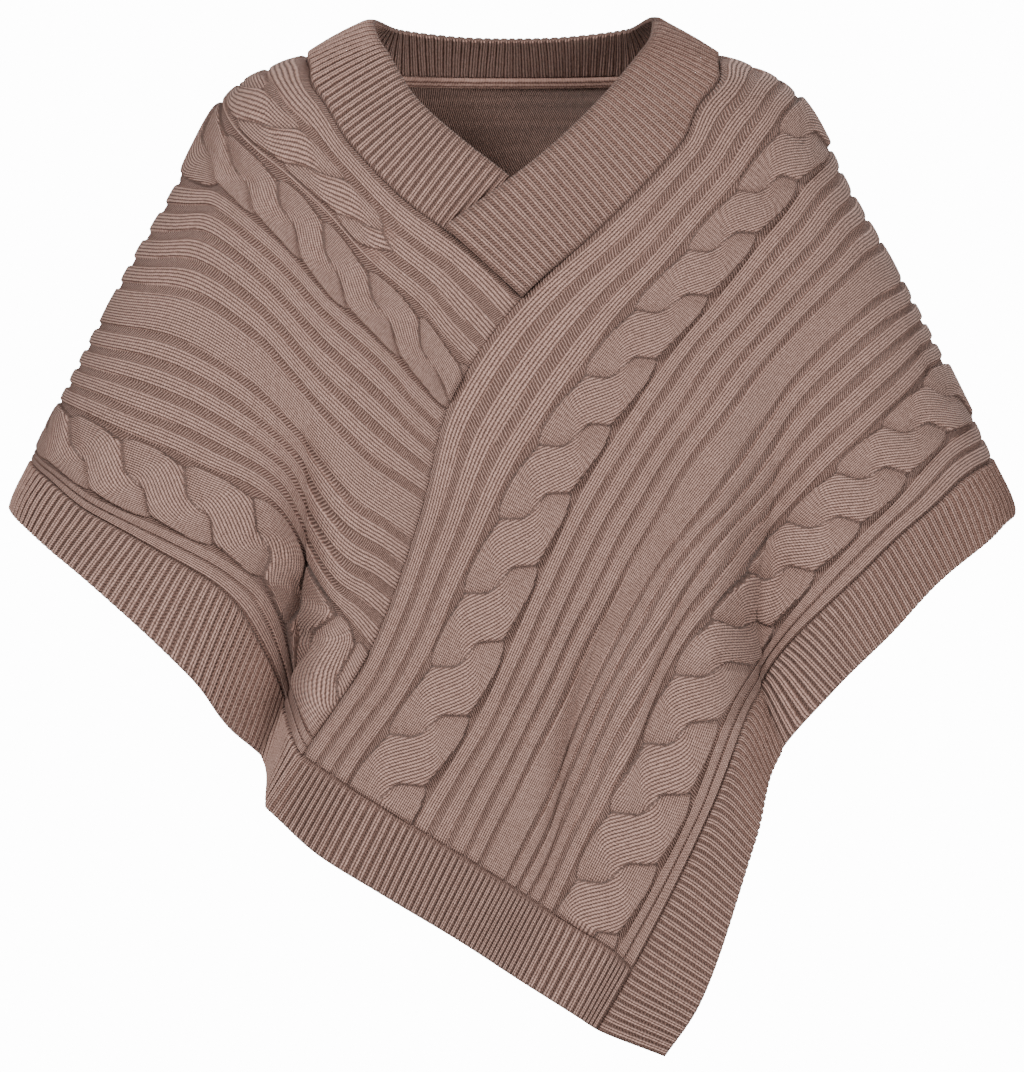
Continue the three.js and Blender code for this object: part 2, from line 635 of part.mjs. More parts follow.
const collarPlaces = PLACES.slice(0, V_SECTION + 1);
const collarColumn = (column, slopesOf = freeSlopes) => smoothCurve(
  collarPlaces, COLLAR_EDGE.map((row) => row[column]), slopesOf,
);
const collarX = collarColumn('x');
const collarY = collarColumn('y');
const collarZ = collarColumn('z');
const collarSink = collarColumn('sink', gentleSlopes);

// A point of the collar: along the neck, up the collar from 0 to 1, and out from its inside
function collarPoint(along, up, lift) {
  const frame = (place) => {
    const foot = stripPoint(place, 0, -collarSink(place));
    const top = new THREE.Vector3(collarX(place), collarY(place), collarZ(place));
    return { foot, rise: top.sub(foot) };
  };
  const here = frame(along);
  const [first, last] = [PLACES[0], PLACES[V_SECTION]];
  const ahead = frame(Math.min(along + RULE.collar, last)).foot;
  const behind = frame(Math.max(along - RULE.collar, first)).foot;
  const normal = here.rise.clone().cross(ahead.sub(behind)).normalize();
  normal.lerp(stripNormal(along, 0), 1 - up).normalize();
  const seam = SEAM_GAP / here.rise.length();
  return here.foot.addScaledVector(here.rise, seam + (1 - seam) * up).addScaledVector(normal, lift);
}

// The crossover collar, ribbed on both faces as one by one ribbing is
function collar(name) {
  const solid = new KnitSolid();
  const middle = (along) => collarPoint(along, RULE.collarMiddle, 0);
  const [start, end] = [PLACES[0] + RULE.trim, PLACES[V_SECTION] - RULE.trim];
  const places = lengthPlaces(start, end, middle, STEP.ribbing);
  const raise = ribbing(places.length);
  const face = (liftAt) => [0, 1].map((up) => solid.addRow(places.map((along, i) => ({
    place: along, point: collarPoint(along, up, liftAt(i)),
  }))));
  const outside = face((i) => COLLAR_WALL + raise(i));
  const inside = face((i) => raise(i) / 2);
  solid.closeWall(outside, inside);
  return solid.mesh(name, BAND_YARN);
}

// The tape that covers the seam inside the back of the neck
function neckTape(name) {
  const solid = new KnitSolid();
  const [left, right] = [PLACES[LEFT_FOLD], PLACES[RIGHT_FOLD]];
  const trim = ((right - left) * (1 - TAPE.reach)) / 2;
  const places = evenSteps(left + trim, right - trim, STEP.tape);
  const edges = [TAPE.near, TAPE.far];
  const face = (lift) => edges.map((across) => alongRow(solid, places, across, () => lift));
  solid.closeWall(face(-TAPE.clear), face(-TAPE.clear - TAPE.thick));
  return solid.mesh(name, BAND_YARN);
}

const halfSeam = SEAM_GAP / 2;
const [leftFold, rightFold] = [PLACES[LEFT_FOLD], PLACES[RIGHT_FOLD]];

const poncho = new THREE.Group();
poncho.add(
  panel('left_front_panel', DIAGONAL_GAP, leftFold - halfSeam),
  panel('back_panel', leftFold + halfSeam, rightFold - halfSeam),
  panel('right_front_panel', rightFold + halfSeam, PLACES[HEM_SECTION]),
  collar('collar'),
  neckTape('neck_tape'),
  edgeBand('left_edge_band', DIAGONAL_GAP, leftFold - halfSeam),
  edgeBand('back_edge_band', leftFold + halfSeam, rightFold - halfSeam),
  edgeBand('right_edge_band', rightFold + halfSeam, PLACES[LAST_SECTION]),
  hemBand('hem_band'),
);

export default poncho;
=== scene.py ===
"""A knitted poncho sweater in its worn form, with nobody in it.

One long strip is knitted sideways and wraps the body, from a diagonal seam in front round the
left arm, across the back, over the right shoulder and down the front to a free end. Rope
cables and flat ribs run along the strip. A crossover collar and ribbed bands finish its edges.

The tables are in millimetres, +Z up, and the front faces -Y; the meshes are in metres.
"""

from __future__ import annotations

import json
import logging
import math
from collections.abc import Callable
from dataclasses import dataclass
from enum import Enum

import bpy
import numpy as np
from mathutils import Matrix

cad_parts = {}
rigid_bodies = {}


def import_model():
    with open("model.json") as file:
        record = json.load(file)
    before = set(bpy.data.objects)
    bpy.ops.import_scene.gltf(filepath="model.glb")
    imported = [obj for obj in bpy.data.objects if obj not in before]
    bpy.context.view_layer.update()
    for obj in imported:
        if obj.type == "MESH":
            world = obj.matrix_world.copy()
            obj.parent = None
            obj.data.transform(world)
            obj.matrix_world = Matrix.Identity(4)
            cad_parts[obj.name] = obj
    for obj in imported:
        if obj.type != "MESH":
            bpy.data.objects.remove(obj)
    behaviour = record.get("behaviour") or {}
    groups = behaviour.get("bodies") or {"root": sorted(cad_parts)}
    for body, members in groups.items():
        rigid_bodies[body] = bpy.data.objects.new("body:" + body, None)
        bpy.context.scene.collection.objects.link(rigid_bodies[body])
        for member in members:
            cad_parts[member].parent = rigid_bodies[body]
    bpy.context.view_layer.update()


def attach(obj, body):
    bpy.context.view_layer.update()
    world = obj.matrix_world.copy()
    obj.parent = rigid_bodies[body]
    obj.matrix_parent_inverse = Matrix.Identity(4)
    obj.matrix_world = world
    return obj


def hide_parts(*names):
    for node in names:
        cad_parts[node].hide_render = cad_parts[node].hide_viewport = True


log = logging.getLogger("poncho")

MM = 0.001
Array = np.ndarray
Colour = tuple[float, float, float, float]


# Smooth curves through a few measured values


class Slopes(Enum):
    """How a smooth curve takes its slopes at its knots."""

    GENTLE = "adds no humps of its own"
    FREE = "passes freely through its points"


def gentle_slopes(at: Array, values: Array) -> Array:
    """Slopes that add no humps between the knots.

    Args:
        at: the rising places of the knots.
        values: one value for each knot.

    Returns:
        One slope for each knot.
    """
    gaps = np.diff(at)
    steps = np.diff(values) / gaps
    slopes = np.concatenate([steps[:1], np.zeros(len(at) - 2), steps[-1:]])
    for i in range(1, len(at) - 1):
        before, after = steps[i - 1], steps[i]
        if before * after > 0:
            a = 2 * gaps[i] + gaps[i - 1]
            b = gaps[i] + 2 * gaps[i - 1]
            slopes[i] = (a + b) / (a / before + b / after)
    return slopes


def free_slopes(at: Array, values: Array) -> Array:
    """Slopes of a curve that passes freely through its points.

    Args:
        at: the rising places of the knots.
        values: one value, or one row of values, for each knot.

    Returns:
        Slopes in the shape of values.
    """
    gaps = np.diff(at).reshape((-1,) + (1,) * (values.ndim - 1))
    steps = np.diff(values, axis=0) / gaps
    share = gaps[:-1] / (gaps[:-1] + gaps[1:])
    middle = steps[:-1] * (1 - share) + steps[1:] * share
    return np.concatenate([steps[:1], middle, steps[-1:]])


class SmoothCurve:
    """A smooth function through values at rising places, held level past both ends."""

    def __init__(self, at: Array, values: Array, slopes: Slopes = Slopes.GENTLE) -> None:
        """Fits the curve.

        Args:
            at: the rising places of the knots.
            values: one value, or with free slopes one row of values, for each knot.
            slopes: how the slopes are taken.
        """
        self.at = np.asarray(at, float)
        self.values = np.asarray(values, float)
        fit = gentle_slopes if slopes is Slopes.GENTLE else free_slopes
        self.slopes = fit(self.at, self.values)

    def __call__(self, place: Array | float) -> Array:
        """The curve's values.

        Args:
            place: one place, or an array of places.

        Returns:
            One value, or one row of values, for each place.
        """
        here = np.clip(np.asarray(place, float), self.at[0], self.at[-1])
        i = np.clip(np.searchsorted(self.at, here, side="right") - 1, 0, len(self.at) - 2)
        span = self.at[i + 1] - self.at[i]
        t = (here - self.at[i]) / span
        if self.values.ndim > 1:
            span, t = span[..., None], t[..., None]
        t2, t3 = t * t, t * t * t
        return (
            self.values[i] * (2 * t3 - 3 * t2 + 1)
            + self.slopes[i] * span * (t3 - 2 * t2 + t)
            + self.values[i + 1] * (3 * t2 - 2 * t3)
            + self.slopes[i + 1] * span * (t3 - t2)
        )


def ramp(start: float, end: float, value: Array | float) -> Array:
    """A smooth step from 0 at start to 1 at end, which may be the smaller."""
    t = np.clip((np.asarray(value, float) - start) / (end - start), 0, 1)
    return t * t * (3 - 2 * t)


def bell(away: Array, spread: Array | float) -> Array:
    """A soft hump: 1 at no distance, and falling away over a spread."""
    return np.exp(-((away / spread) ** 2))


def even_steps(start: float, end: float, step: float) -> Array:
    """Places from start to end in equal steps of at most the given length."""
    count = max(2, math.ceil((end - start) / step))
    return np.linspace(start, end, count + 1)


def unit(vectors: Array) -> Array:
    """The vectors at length 1."""
    return vectors / np.maximum(np.linalg.norm(vectors, axis=-1, keepdims=True), 1e-9)


# The form of the garment


class Side(Enum):
    """The side of the body that a fold is on."""

    FRONT = "front"
    BACK = "back"


@dataclass(frozen=True)
class FormRow:
    """Half width of the garment at a height, and its depth before and behind the shoulders."""

    z: float
    half: float
    front: float
    back: float


@dataclass(frozen=True)
class FoldPoint:
    """A point on the line of a fold, and how far the cloth is pushed in there."""

    z: float
    x: float
    depth: float


@dataclass(frozen=True)
class Fold:
    """A soft trough (in, +) or ridge (out, -) of the hanging cloth."""

    side: Side
    left_spread: float
    right_spread: float
    line: tuple[FoldPoint, ...]


@dataclass(frozen=True)
class FrontRow:
    """A section across the strip in front: x and z where each line of the strip crosses it."""

    neck: tuple[float, float]
    upper_in: tuple[float, float]
    upper_out: tuple[float, float]
    wide: tuple[float, float]
    lower_in: tuple[float, float]
    lower_out: tuple[float, float]
    seam: tuple[float, float]
    edge: tuple[float, float]


@dataclass(frozen=True)
class BackRow:
    """A section across the strip at a turn about the body: the height of each line."""

    turn: float
    neck: float
    upper_in: float
    upper_out: float
    wide: float
    lower_in: float
    lower_out: float
    seam: float
    edge: float


@dataclass(frozen=True)
class CollarRow:
    """A point of the collar's free edge, and how far its foot sinks under the other end."""

    x: float
    y: float
    z: float
    sink: float


FORM = (
    FormRow(30, 104, 30, 60),
    FormRow(2, 149, 42, 84),
    FormRow(-5, 169, 50, 102),
    FormRow(-18, 196, 66, 116),
    FormRow(-36, 214, 83, 125),
    FormRow(-66, 231, 98, 131),
    FormRow(-89, 242, 106, 134),
    FormRow(-148, 276, 117, 136),
    FormRow(-243, 325, 125, 134),
    FormRow(-295, 350, 128, 131),
    FormRow(-331, 366, 130, 129),
    FormRow(-420, 376, 133, 123),
    FormRow(-560, 380, 131, 118),
    FormRow(-740, 384, 124, 118),
)

LEFT_FRONT = (
    FrontRow((-15, -154), (-52, -206), (-70, -234), (-88, -325),
             (-118, -417), (-161, -448), (-167, -470), (-180, -517)),
    FrontRow((-37, -135), (-67, -187), (-91, -211), (-110, -309),
             (-132, -397), (-173, -405), (-184, -432), (-207, -492)),
    FrontRow((-80, -103), (-107, -151), (-131, -175), (-152, -262),
             (-175, -331), (-201, -370), (-211, -391), (-237, -453)),
    FrontRow((-118, -64), (-144, -110), (-169, -133), (-195, -218),
             (-227, -302), (-246, -346), (-257, -362), (-285, -407)),
    FrontRow((-143, -26), (-186, -74), (-209, -98), (-244, -190),
             (-280, -279), (-299, -323), (-307, -334), (-331, -367)),
    FrontRow((-150, -4), (-212, -43), (-230, -91), (-283, -184),
             (-322, -260), (-337, -298), (-342, -306), (-360, -340)),
)

AROUND_BACK = (
    BackRow(-90, 2, -33, -89, -182, -254, -286, -295, -331),
    BackRow(-120, -4, -50, -102, -189, -266, -306, -325, -366),
    BackRow(-148, -9, -60, -113, -203, -293, -343, -374, -423),
    BackRow(-180, -11, -64, -115, -207, -298, -349, -382, -432),
    BackRow(-212, -9, -59, -109, -200, -290, -340, -372, -421),
    BackRow(-240, -4, -44, -88, -173, -252, -297, -324, -367),
    BackRow(-270, 1, -28, -65, -148, -223, -263, -292, -332),
)

RIGHT_FRONT = (
    FrontRow((152, -4), (203, -38), (228, -73), (277, -153),
             (308, -228), (335, -267), (349, -295), (366, -336)),
    FrontRow((144, -26), (190, -57), (215, -86), (268, -159),
             (302, -234), (330, -270), (343, -299), (361, -341)),
    FrontRow((125, -61), (162, -96), (191, -118), (251, -173),
             (288, -249), (317, -279), (331, -307), (350, -353)),
    FrontRow((65, -124), (104, -165), (135, -188), (198, -226),
             (246, -291), (279, -321), (291, -343), (313, -384)),
    FrontRow((7, -176), (63, -214), (96, -239), (153, -289),
             (200, -338), (235, -367), (250, -383), (275, -425)),
    FrontRow((-44, -250), (11, -291), (49, -313), (111, -350),
             (153, -395), (190, -424), (204, -429), (237, -463)),
    FrontRow((-67, -334), (-27, -369), (14, -388), (72, -417),
             (117, -451), (158, -470), (174, -473), (195, -512)),
    FrontRow((-101, -428), (-66, -453), (-25, -475), (29, -506),
             (79, -533), (126, -555), (146, -549), (177, -577)),
    FrontRow((-153, -511), (-119, -534), (-75, -561), (-14, -598),
             (32, -628), (74, -654), (88, -667), (136, -697)),
    FrontRow((-178, -551), (-145, -582), (-99, -611), (-39, -647),
             (7, -677), (48, -703), (62, -712), (112, -732)),
)

# Heights of the lines on the first section, along the diagonal seam
DIAGONAL_HEIGHTS = [-176, -227, -257, -338, -437, -498, -512, -551]

FOLDS = (
    # Left arm
    Fold(Side.FRONT, 52, 17, (
        FoldPoint(-170, -140, 0), FoldPoint(-265, -152, 9), FoldPoint(-338, -147, 17),
        FoldPoint(-397, -150, 25), FoldPoint(-441, -157, 32), FoldPoint(-512, -184, 38),
        FoldPoint(-570, -205, 38),
    )),
    # Right arm
    Fold(Side.FRONT, 28, 50, (
        FoldPoint(-90, 265, 0), FoldPoint(-198, 212, 6), FoldPoint(-316, 193, 15),
        FoldPoint(-397, 175, 24), FoldPoint(-456, 179, 28), FoldPoint(-507, 196, 26),
        FoldPoint(-580, 215, 18),
    )),
    # Right ridge
    Fold(Side.FRONT, 24, 18, (
        FoldPoint(-210, 160, 0), FoldPoint(-300, 148, -9), FoldPoint(-400, 144, -11),
        FoldPoint(-480, 140, -4), FoldPoint(-560, 135, 0),
    )),
    # Middle
    Fold(Side.FRONT, 26, 34, (
        FoldPoint(-380, 66, 0), FoldPoint(-442, 44, 8), FoldPoint(-494, 45, 11),
        FoldPoint(-562, 37, 9), FoldPoint(-640, 30, 0),
    )),
    # Left back
    Fold(Side.BACK, 55, 30, (
        FoldPoint(-110, -205, 0), FoldPoint(-220, -184, 8), FoldPoint(-330, -172, 20),
        FoldPoint(-440, -168, 29),
    )),
    # Right back
    Fold(Side.BACK, 34, 52, (
        FoldPoint(-130, 210, 0), FoldPoint(-250, 178, 9), FoldPoint(-340, 160, 18),
        FoldPoint(-440, 154, 24),
    )),
    # Middle back
    Fold(Side.BACK, 36, 46, (
        FoldPoint(-180, 8, 0), FoldPoint(-300, -6, 5), FoldPoint(-440, -14, 12),
    )),
)

# Small sharp creases, which only the cloth's shell has
CREASES = (
    # Left arm crease
    Fold(Side.FRONT, 26, 9, (
        FoldPoint(-260, -152, 0), FoldPoint(-338, -150, 15), FoldPoint(-400, -152, 26),
        FoldPoint(-463, -160, 23), FoldPoint(-520, -182, 9), FoldPoint(-570, -205, 0),
    )),
    # Right arm crease
    Fold(Side.FRONT, 9, 26, (
        FoldPoint(-250, 200, 0), FoldPoint(-330, 190, 7), FoldPoint(-400, 178, 11),
        FoldPoint(-456, 182, 12), FoldPoint(-507, 198, 8), FoldPoint(-560, 215, 0),
    )),
    # Middle crease
    Fold(Side.FRONT, 11, 20, (
        FoldPoint(-370, 92, 0), FoldPoint(-420, 66, 9), FoldPoint(-480, 44, 13),
        FoldPoint(-540, 33, 9), FoldPoint(-610, 24, 0),
    )),
    # Middle ridge
    Fold(Side.FRONT, 16, 10, (
        FoldPoint(-340, 140, 0), FoldPoint(-390, 116, -7), FoldPoint(-450, 92, -9),
        FoldPoint(-520, 78, -6), FoldPoint(-590, 74, 0),
    )),
    # Left back crease
    Fold(Side.BACK, 30, 11, (
        FoldPoint(-220, -186, 0), FoldPoint(-330, -174, 9), FoldPoint(-420, -170, 11),
        FoldPoint(-520, -190, 0),
    )),
    # Right back crease
    Fold(Side.BACK, 11, 28, (
        FoldPoint(-240, 180, 0), FoldPoint(-340, 164, 9), FoldPoint(-430, 158, 11),
        FoldPoint(-520, 170, 0),
    )),
)

COLLAR_EDGE = (
    CollarRow(36, -99, -119, 7),
    CollarRow(18, -99, -103, 5.5),
    CollarRow(0, -98, -87, 4),
    CollarRow(-42, -88, -54, 0.5),
    CollarRow(-71, -66, -27, 0),
    CollarRow(-90, -38, 4, 0),
    CollarRow(-98, -18, 17, 0),
    CollarRow(-101, 2, 27, 0),
    CollarRow(-84, 38, 22, 0),
    CollarRow(-48, 57, 17, 0),
    CollarRow(0, 63, 15, 0),
    CollarRow(48, 57, 17, 0),
    CollarRow(85, 38, 22, 0),
    CollarRow(103, 2, 27, 0),
    CollarRow(101, -18, 17, 0),
    CollarRow(93, -36, 5, 0),
    CollarRow(74, -62, -18, 0),
    CollarRow(19, -103, -71, 0),
    CollarRow(-51, -121, -123, -5),
)

LINES = ("neck", "upper_in", "upper_out", "wide", "lower_in", "lower_out", "seam", "edge")
LINE_PLACES = np.array([0.0, 57.0, 108.0, 199.5, 291.0, 342.0, 375.0, 425.0])
FULL_TURN = 360.0
FAR = 1e3

# Clearances in millimetres, at the diagonal seam and at the other seams
DIAGONAL_GAP = 0.6
SEAM_GAP = 0.2


def by_height(rows: tuple, column: str) -> SmoothCurve:
    """A smooth function of height from one column of a table."""
    rising = sorted(rows, key=lambda row: row.z)
    return SmoothCurve([row.z for row in rising], [getattr(row, column) for row in rising])


class BodyForm:
    """The worn form: a rounded body about the shoulder line, with its folds pushed in."""

    fold_fade = 3.0

    def __init__(self, rows: tuple[FormRow, ...], folds: tuple[Fold, ...]) -> None:
        """Lays smooth curves through the tables.

        Args:
            rows: the form's sizes by height.
            folds: the folds that are pushed into it.
        """
        self.half = by_height(rows, "half")
        self.front = by_height(rows, "front")
        self.back = by_height(rows, "back")
        self.folds = folds
        self.lines = [(by_height(f.line, "x"), by_height(f.line, "depth")) for f in folds]

    def fold_depth(self, side: Side, x: Array, z: Array) -> Array:
        """How far the folds of one side push the cloth in.

        Args:
            side: the side of the body.
            x: places to the side, in millimetres.
            z: heights in millimetres.

        Returns:
            Depths in millimetres, below 0 on a ridge.
        """
        total = np.zeros(np.broadcast(x, z).shape)
        for fold, (line, depth) in zip(self.folds, self.lines):
            if fold.side == side:
                away = x - line(z)
                spread = np.where(away < 0, fold.left_spread, fold.right_spread)
                total += depth(z) * bell(away, spread)
        return total

    def point(self, turn: Array, z: Array) -> Array:
        """Points of the cloth's inside face.

        Args:
            turn: turns about the body in degrees, 0 in front and -90 at the left.
            z: heights in millimetres.

        Returns:
            Points, in an array with one more axis.
        """
        angle = np.radians(turn)
        facing = np.cos(angle)
        x = self.half(z) * np.sin(angle)
        in_front = facing > 0
        depth = np.where(in_front, self.front(z), self.back(z))
        front, back = self.fold_depth(Side.FRONT, x, z), self.fold_depth(Side.BACK, x, z)
        folds = np.where(in_front, front, back)
        y = folds * np.clip(facing * self.fold_fade, -1, 1) - depth * facing
        return np.stack([x, y, z + 0 * x], axis=-1)

    def front_turn(self, x: Array, z: Array) -> Array:
        """The turn at which the front of the form passes through x at a height."""
        return np.degrees(np.arcsin(np.clip(x / self.half(z), -1, 1)))


class Section:
    """A section across the strip: a turn and a height for each distance from the neck edge."""

    def __init__(self, turns: list[float] | Array, heights: list[float]) -> None:
        """Takes the turn and the height of each line of the strip."""
        self.turn = SmoothCurve(LINE_PLACES, turns)
        self.z = SmoothCurve(LINE_PLACES, heights)

    @classmethod
    def in_front(cls, form: BodyForm, row: FrontRow, base: float) -> Section:
        """A section from a row of the front tables, base turns round from the front."""
        points = np.array([getattr(row, line) for line in LINES], float)
        return cls(base + form.front_turn(points[:, 0], points[:, 1]), points[:, 1])

    @classmethod
    def round_back(cls, row: BackRow) -> Section:
        """A section from a row of the table that goes round the back."""
        return cls([row.turn] * len(LINES), [getattr(row, line) for line in LINES])


class DiagonalSection(Section):
    """The strip's first section, laid along the right front's neck edge."""

    def __init__(self, edge_turn: SmoothCurve, heights: list[float]) -> None:
        """Takes the neck edge's turn by height, and the heights of the lines."""
        self.z = SmoothCurve(LINE_PLACES, heights)
        self.turn = lambda across: edge_turn(self.z(across)) + FULL_TURN


class Strip:
    """The knitted strip, wrapped on the form and measured along and across in millimetres."""

    width = 375.0
    reach = 1.5
    opening_rows = 5
    low_rows = 7
    edge_step = 8.0
    fine_steps = 800

    def __init__(self, form: BodyForm) -> None:
        """Lays the strip's sections on the form.

        The numbers of some sections are kept: those on the side folds, the one where the neck's
        opening ends, one low down in front, and the one at the hem seam.

        Args:
            form: the worn form.
        """
        self.form = form
        right = [Section.in_front(form, row, -FULL_TURN) for row in RIGHT_FRONT]
        left = [Section.in_front(form, row, 0.0) for row in LEFT_FRONT]
        back = [Section.round_back(row) for row in AROUND_BACK]
        self.sections = [self.diagonal(right), *left, *back, *right]
        self.places = self.section_places(self.sections)
        after_left = 1 + len(left)
        self.left_fold = after_left
        self.right_fold = after_left + len(back) - 1
        self.opening_end = self.right_fold + self.opening_rows
        self.low = self.right_fold + self.low_rows
        self.hem = len(self.sections) - 2
        self.left_place = self.places[self.left_fold]
        self.right_place = self.places[self.right_fold]
        self.end = self.places[-1]

    def section_places(self, sections: list[Section]) -> Array:
        """Where sections lie along the strip.

        Args:
            sections: neighbouring sections, in order.

        Returns:
            The mean distance from one section to the next, summed from the first.
        """
        turns = np.array([section.turn(LINE_PLACES) for section in sections])
        heights = np.array([section.z(LINE_PLACES) for section in sections])
        at = self.form.point(turns, heights)
        between = self.form.point((turns[1:] + turns[:-1]) / 2, (heights[1:] + heights[:-1]) / 2)
        first = np.linalg.norm(between - at[:-1], axis=-1)
        second = np.linalg.norm(at[1:] - between, axis=-1)
        return np.concatenate([[0.0], np.cumsum((first + second).mean(axis=1))])

    def diagonal(self, right: list[Section]) -> DiagonalSection:
        """The strip's first section.

        Args:
            right: the sections of the right front, whose neck edge it follows.

        Returns:
            The section.
        """
        places = self.section_places(right)
        turn = SmoothCurve(places, [section.turn(0.0) for section in right], Slopes.FREE)
        z = SmoothCurve(places, [section.z(0.0) for section in right], Slopes.FREE)
        edge = even_steps(0.0, places[-1], self.edge_step)
        heights, turns = z(edge), turn(edge)
        order = np.argsort(heights)
        return DiagonalSection(SmoothCurve(heights[order], turns[order]), DIAGONAL_HEIGHTS)

    def points(self, along: Array, across: Array) -> Array:
        """Points of the inside face.

        Args:
            along: places along the strip.
            across: distances across it from the neck edge.

        Returns:
            A grid of points.
        """
        turns = np.array([section.turn(across) for section in self.sections])
        heights = np.array([section.z(across) for section in self.sections])
        turn = SmoothCurve(self.places, turns, Slopes.FREE)(along)
        z = SmoothCurve(self.places, heights, Slopes.FREE)(along)
        return self.form.point(turn, z)

    def normals(self, along: Array, across: Array) -> Array:
        """The way out of the cloth.

        Args:
            along: places along the strip.
            across: distances across it from the neck edge.

        Returns:
            A grid of directions.
        """
        ahead = self.points(np.minimum(along + self.reach, self.end), across)
        behind = self.points(np.maximum(along - self.reach, 0.0), across)
        outward = self.points(along, np.minimum(across + self.reach, LINE_PLACES[-1]))
        inward = self.points(along, np.maximum(across - self.reach, 0.0))
        return unit(np.cross(ahead - behind, outward - inward))

    def lifted(self, along: Array, across: Array, lift: Array) -> Array:
        """Points of the strip lifted off its inside face."""
        return self.points(along, across) + self.normals(along, across) * lift[..., None]

    def lengths(self, start: float, end: float, across: float) -> tuple[Array, Array]:
        """Measures a line along the strip.

        Args:
            start: place where the line starts.
            end: place where it ends.
            across: its distance across the strip.

        Returns:
            Close places along the line, and its real length up to each.
        """
        places = np.linspace(start, end, self.fine_steps)
        line = self.points(places, np.array([across]))[:, 0]
        steps = np.linalg.norm(np.diff(line, axis=0), axis=1)
        return places, np.concatenate([[0.0], np.cumsum(steps)])

    def by_length(self, start: float, end: float, across: float, step: float) -> Array:
        """Places that divide one line into equal real lengths of about a step."""
        places, lengths = self.lengths(start, end, across)
        return np.interp(even_steps(0.0, lengths[-1], step), lengths, places)


# The knitting


@dataclass
class Stitches:
    """What the knitting does on a grid: its height over the wall, the yarn's pattern, and the shade
    painted into its hollows.
    """

    lift: Array
    wale: Array
    course: Array
    purl: Array
    # Painted shade: darkness laid into the colour in creases, gutters, hollows and folds, from 0 to 1
    # or more.
    shade: Array


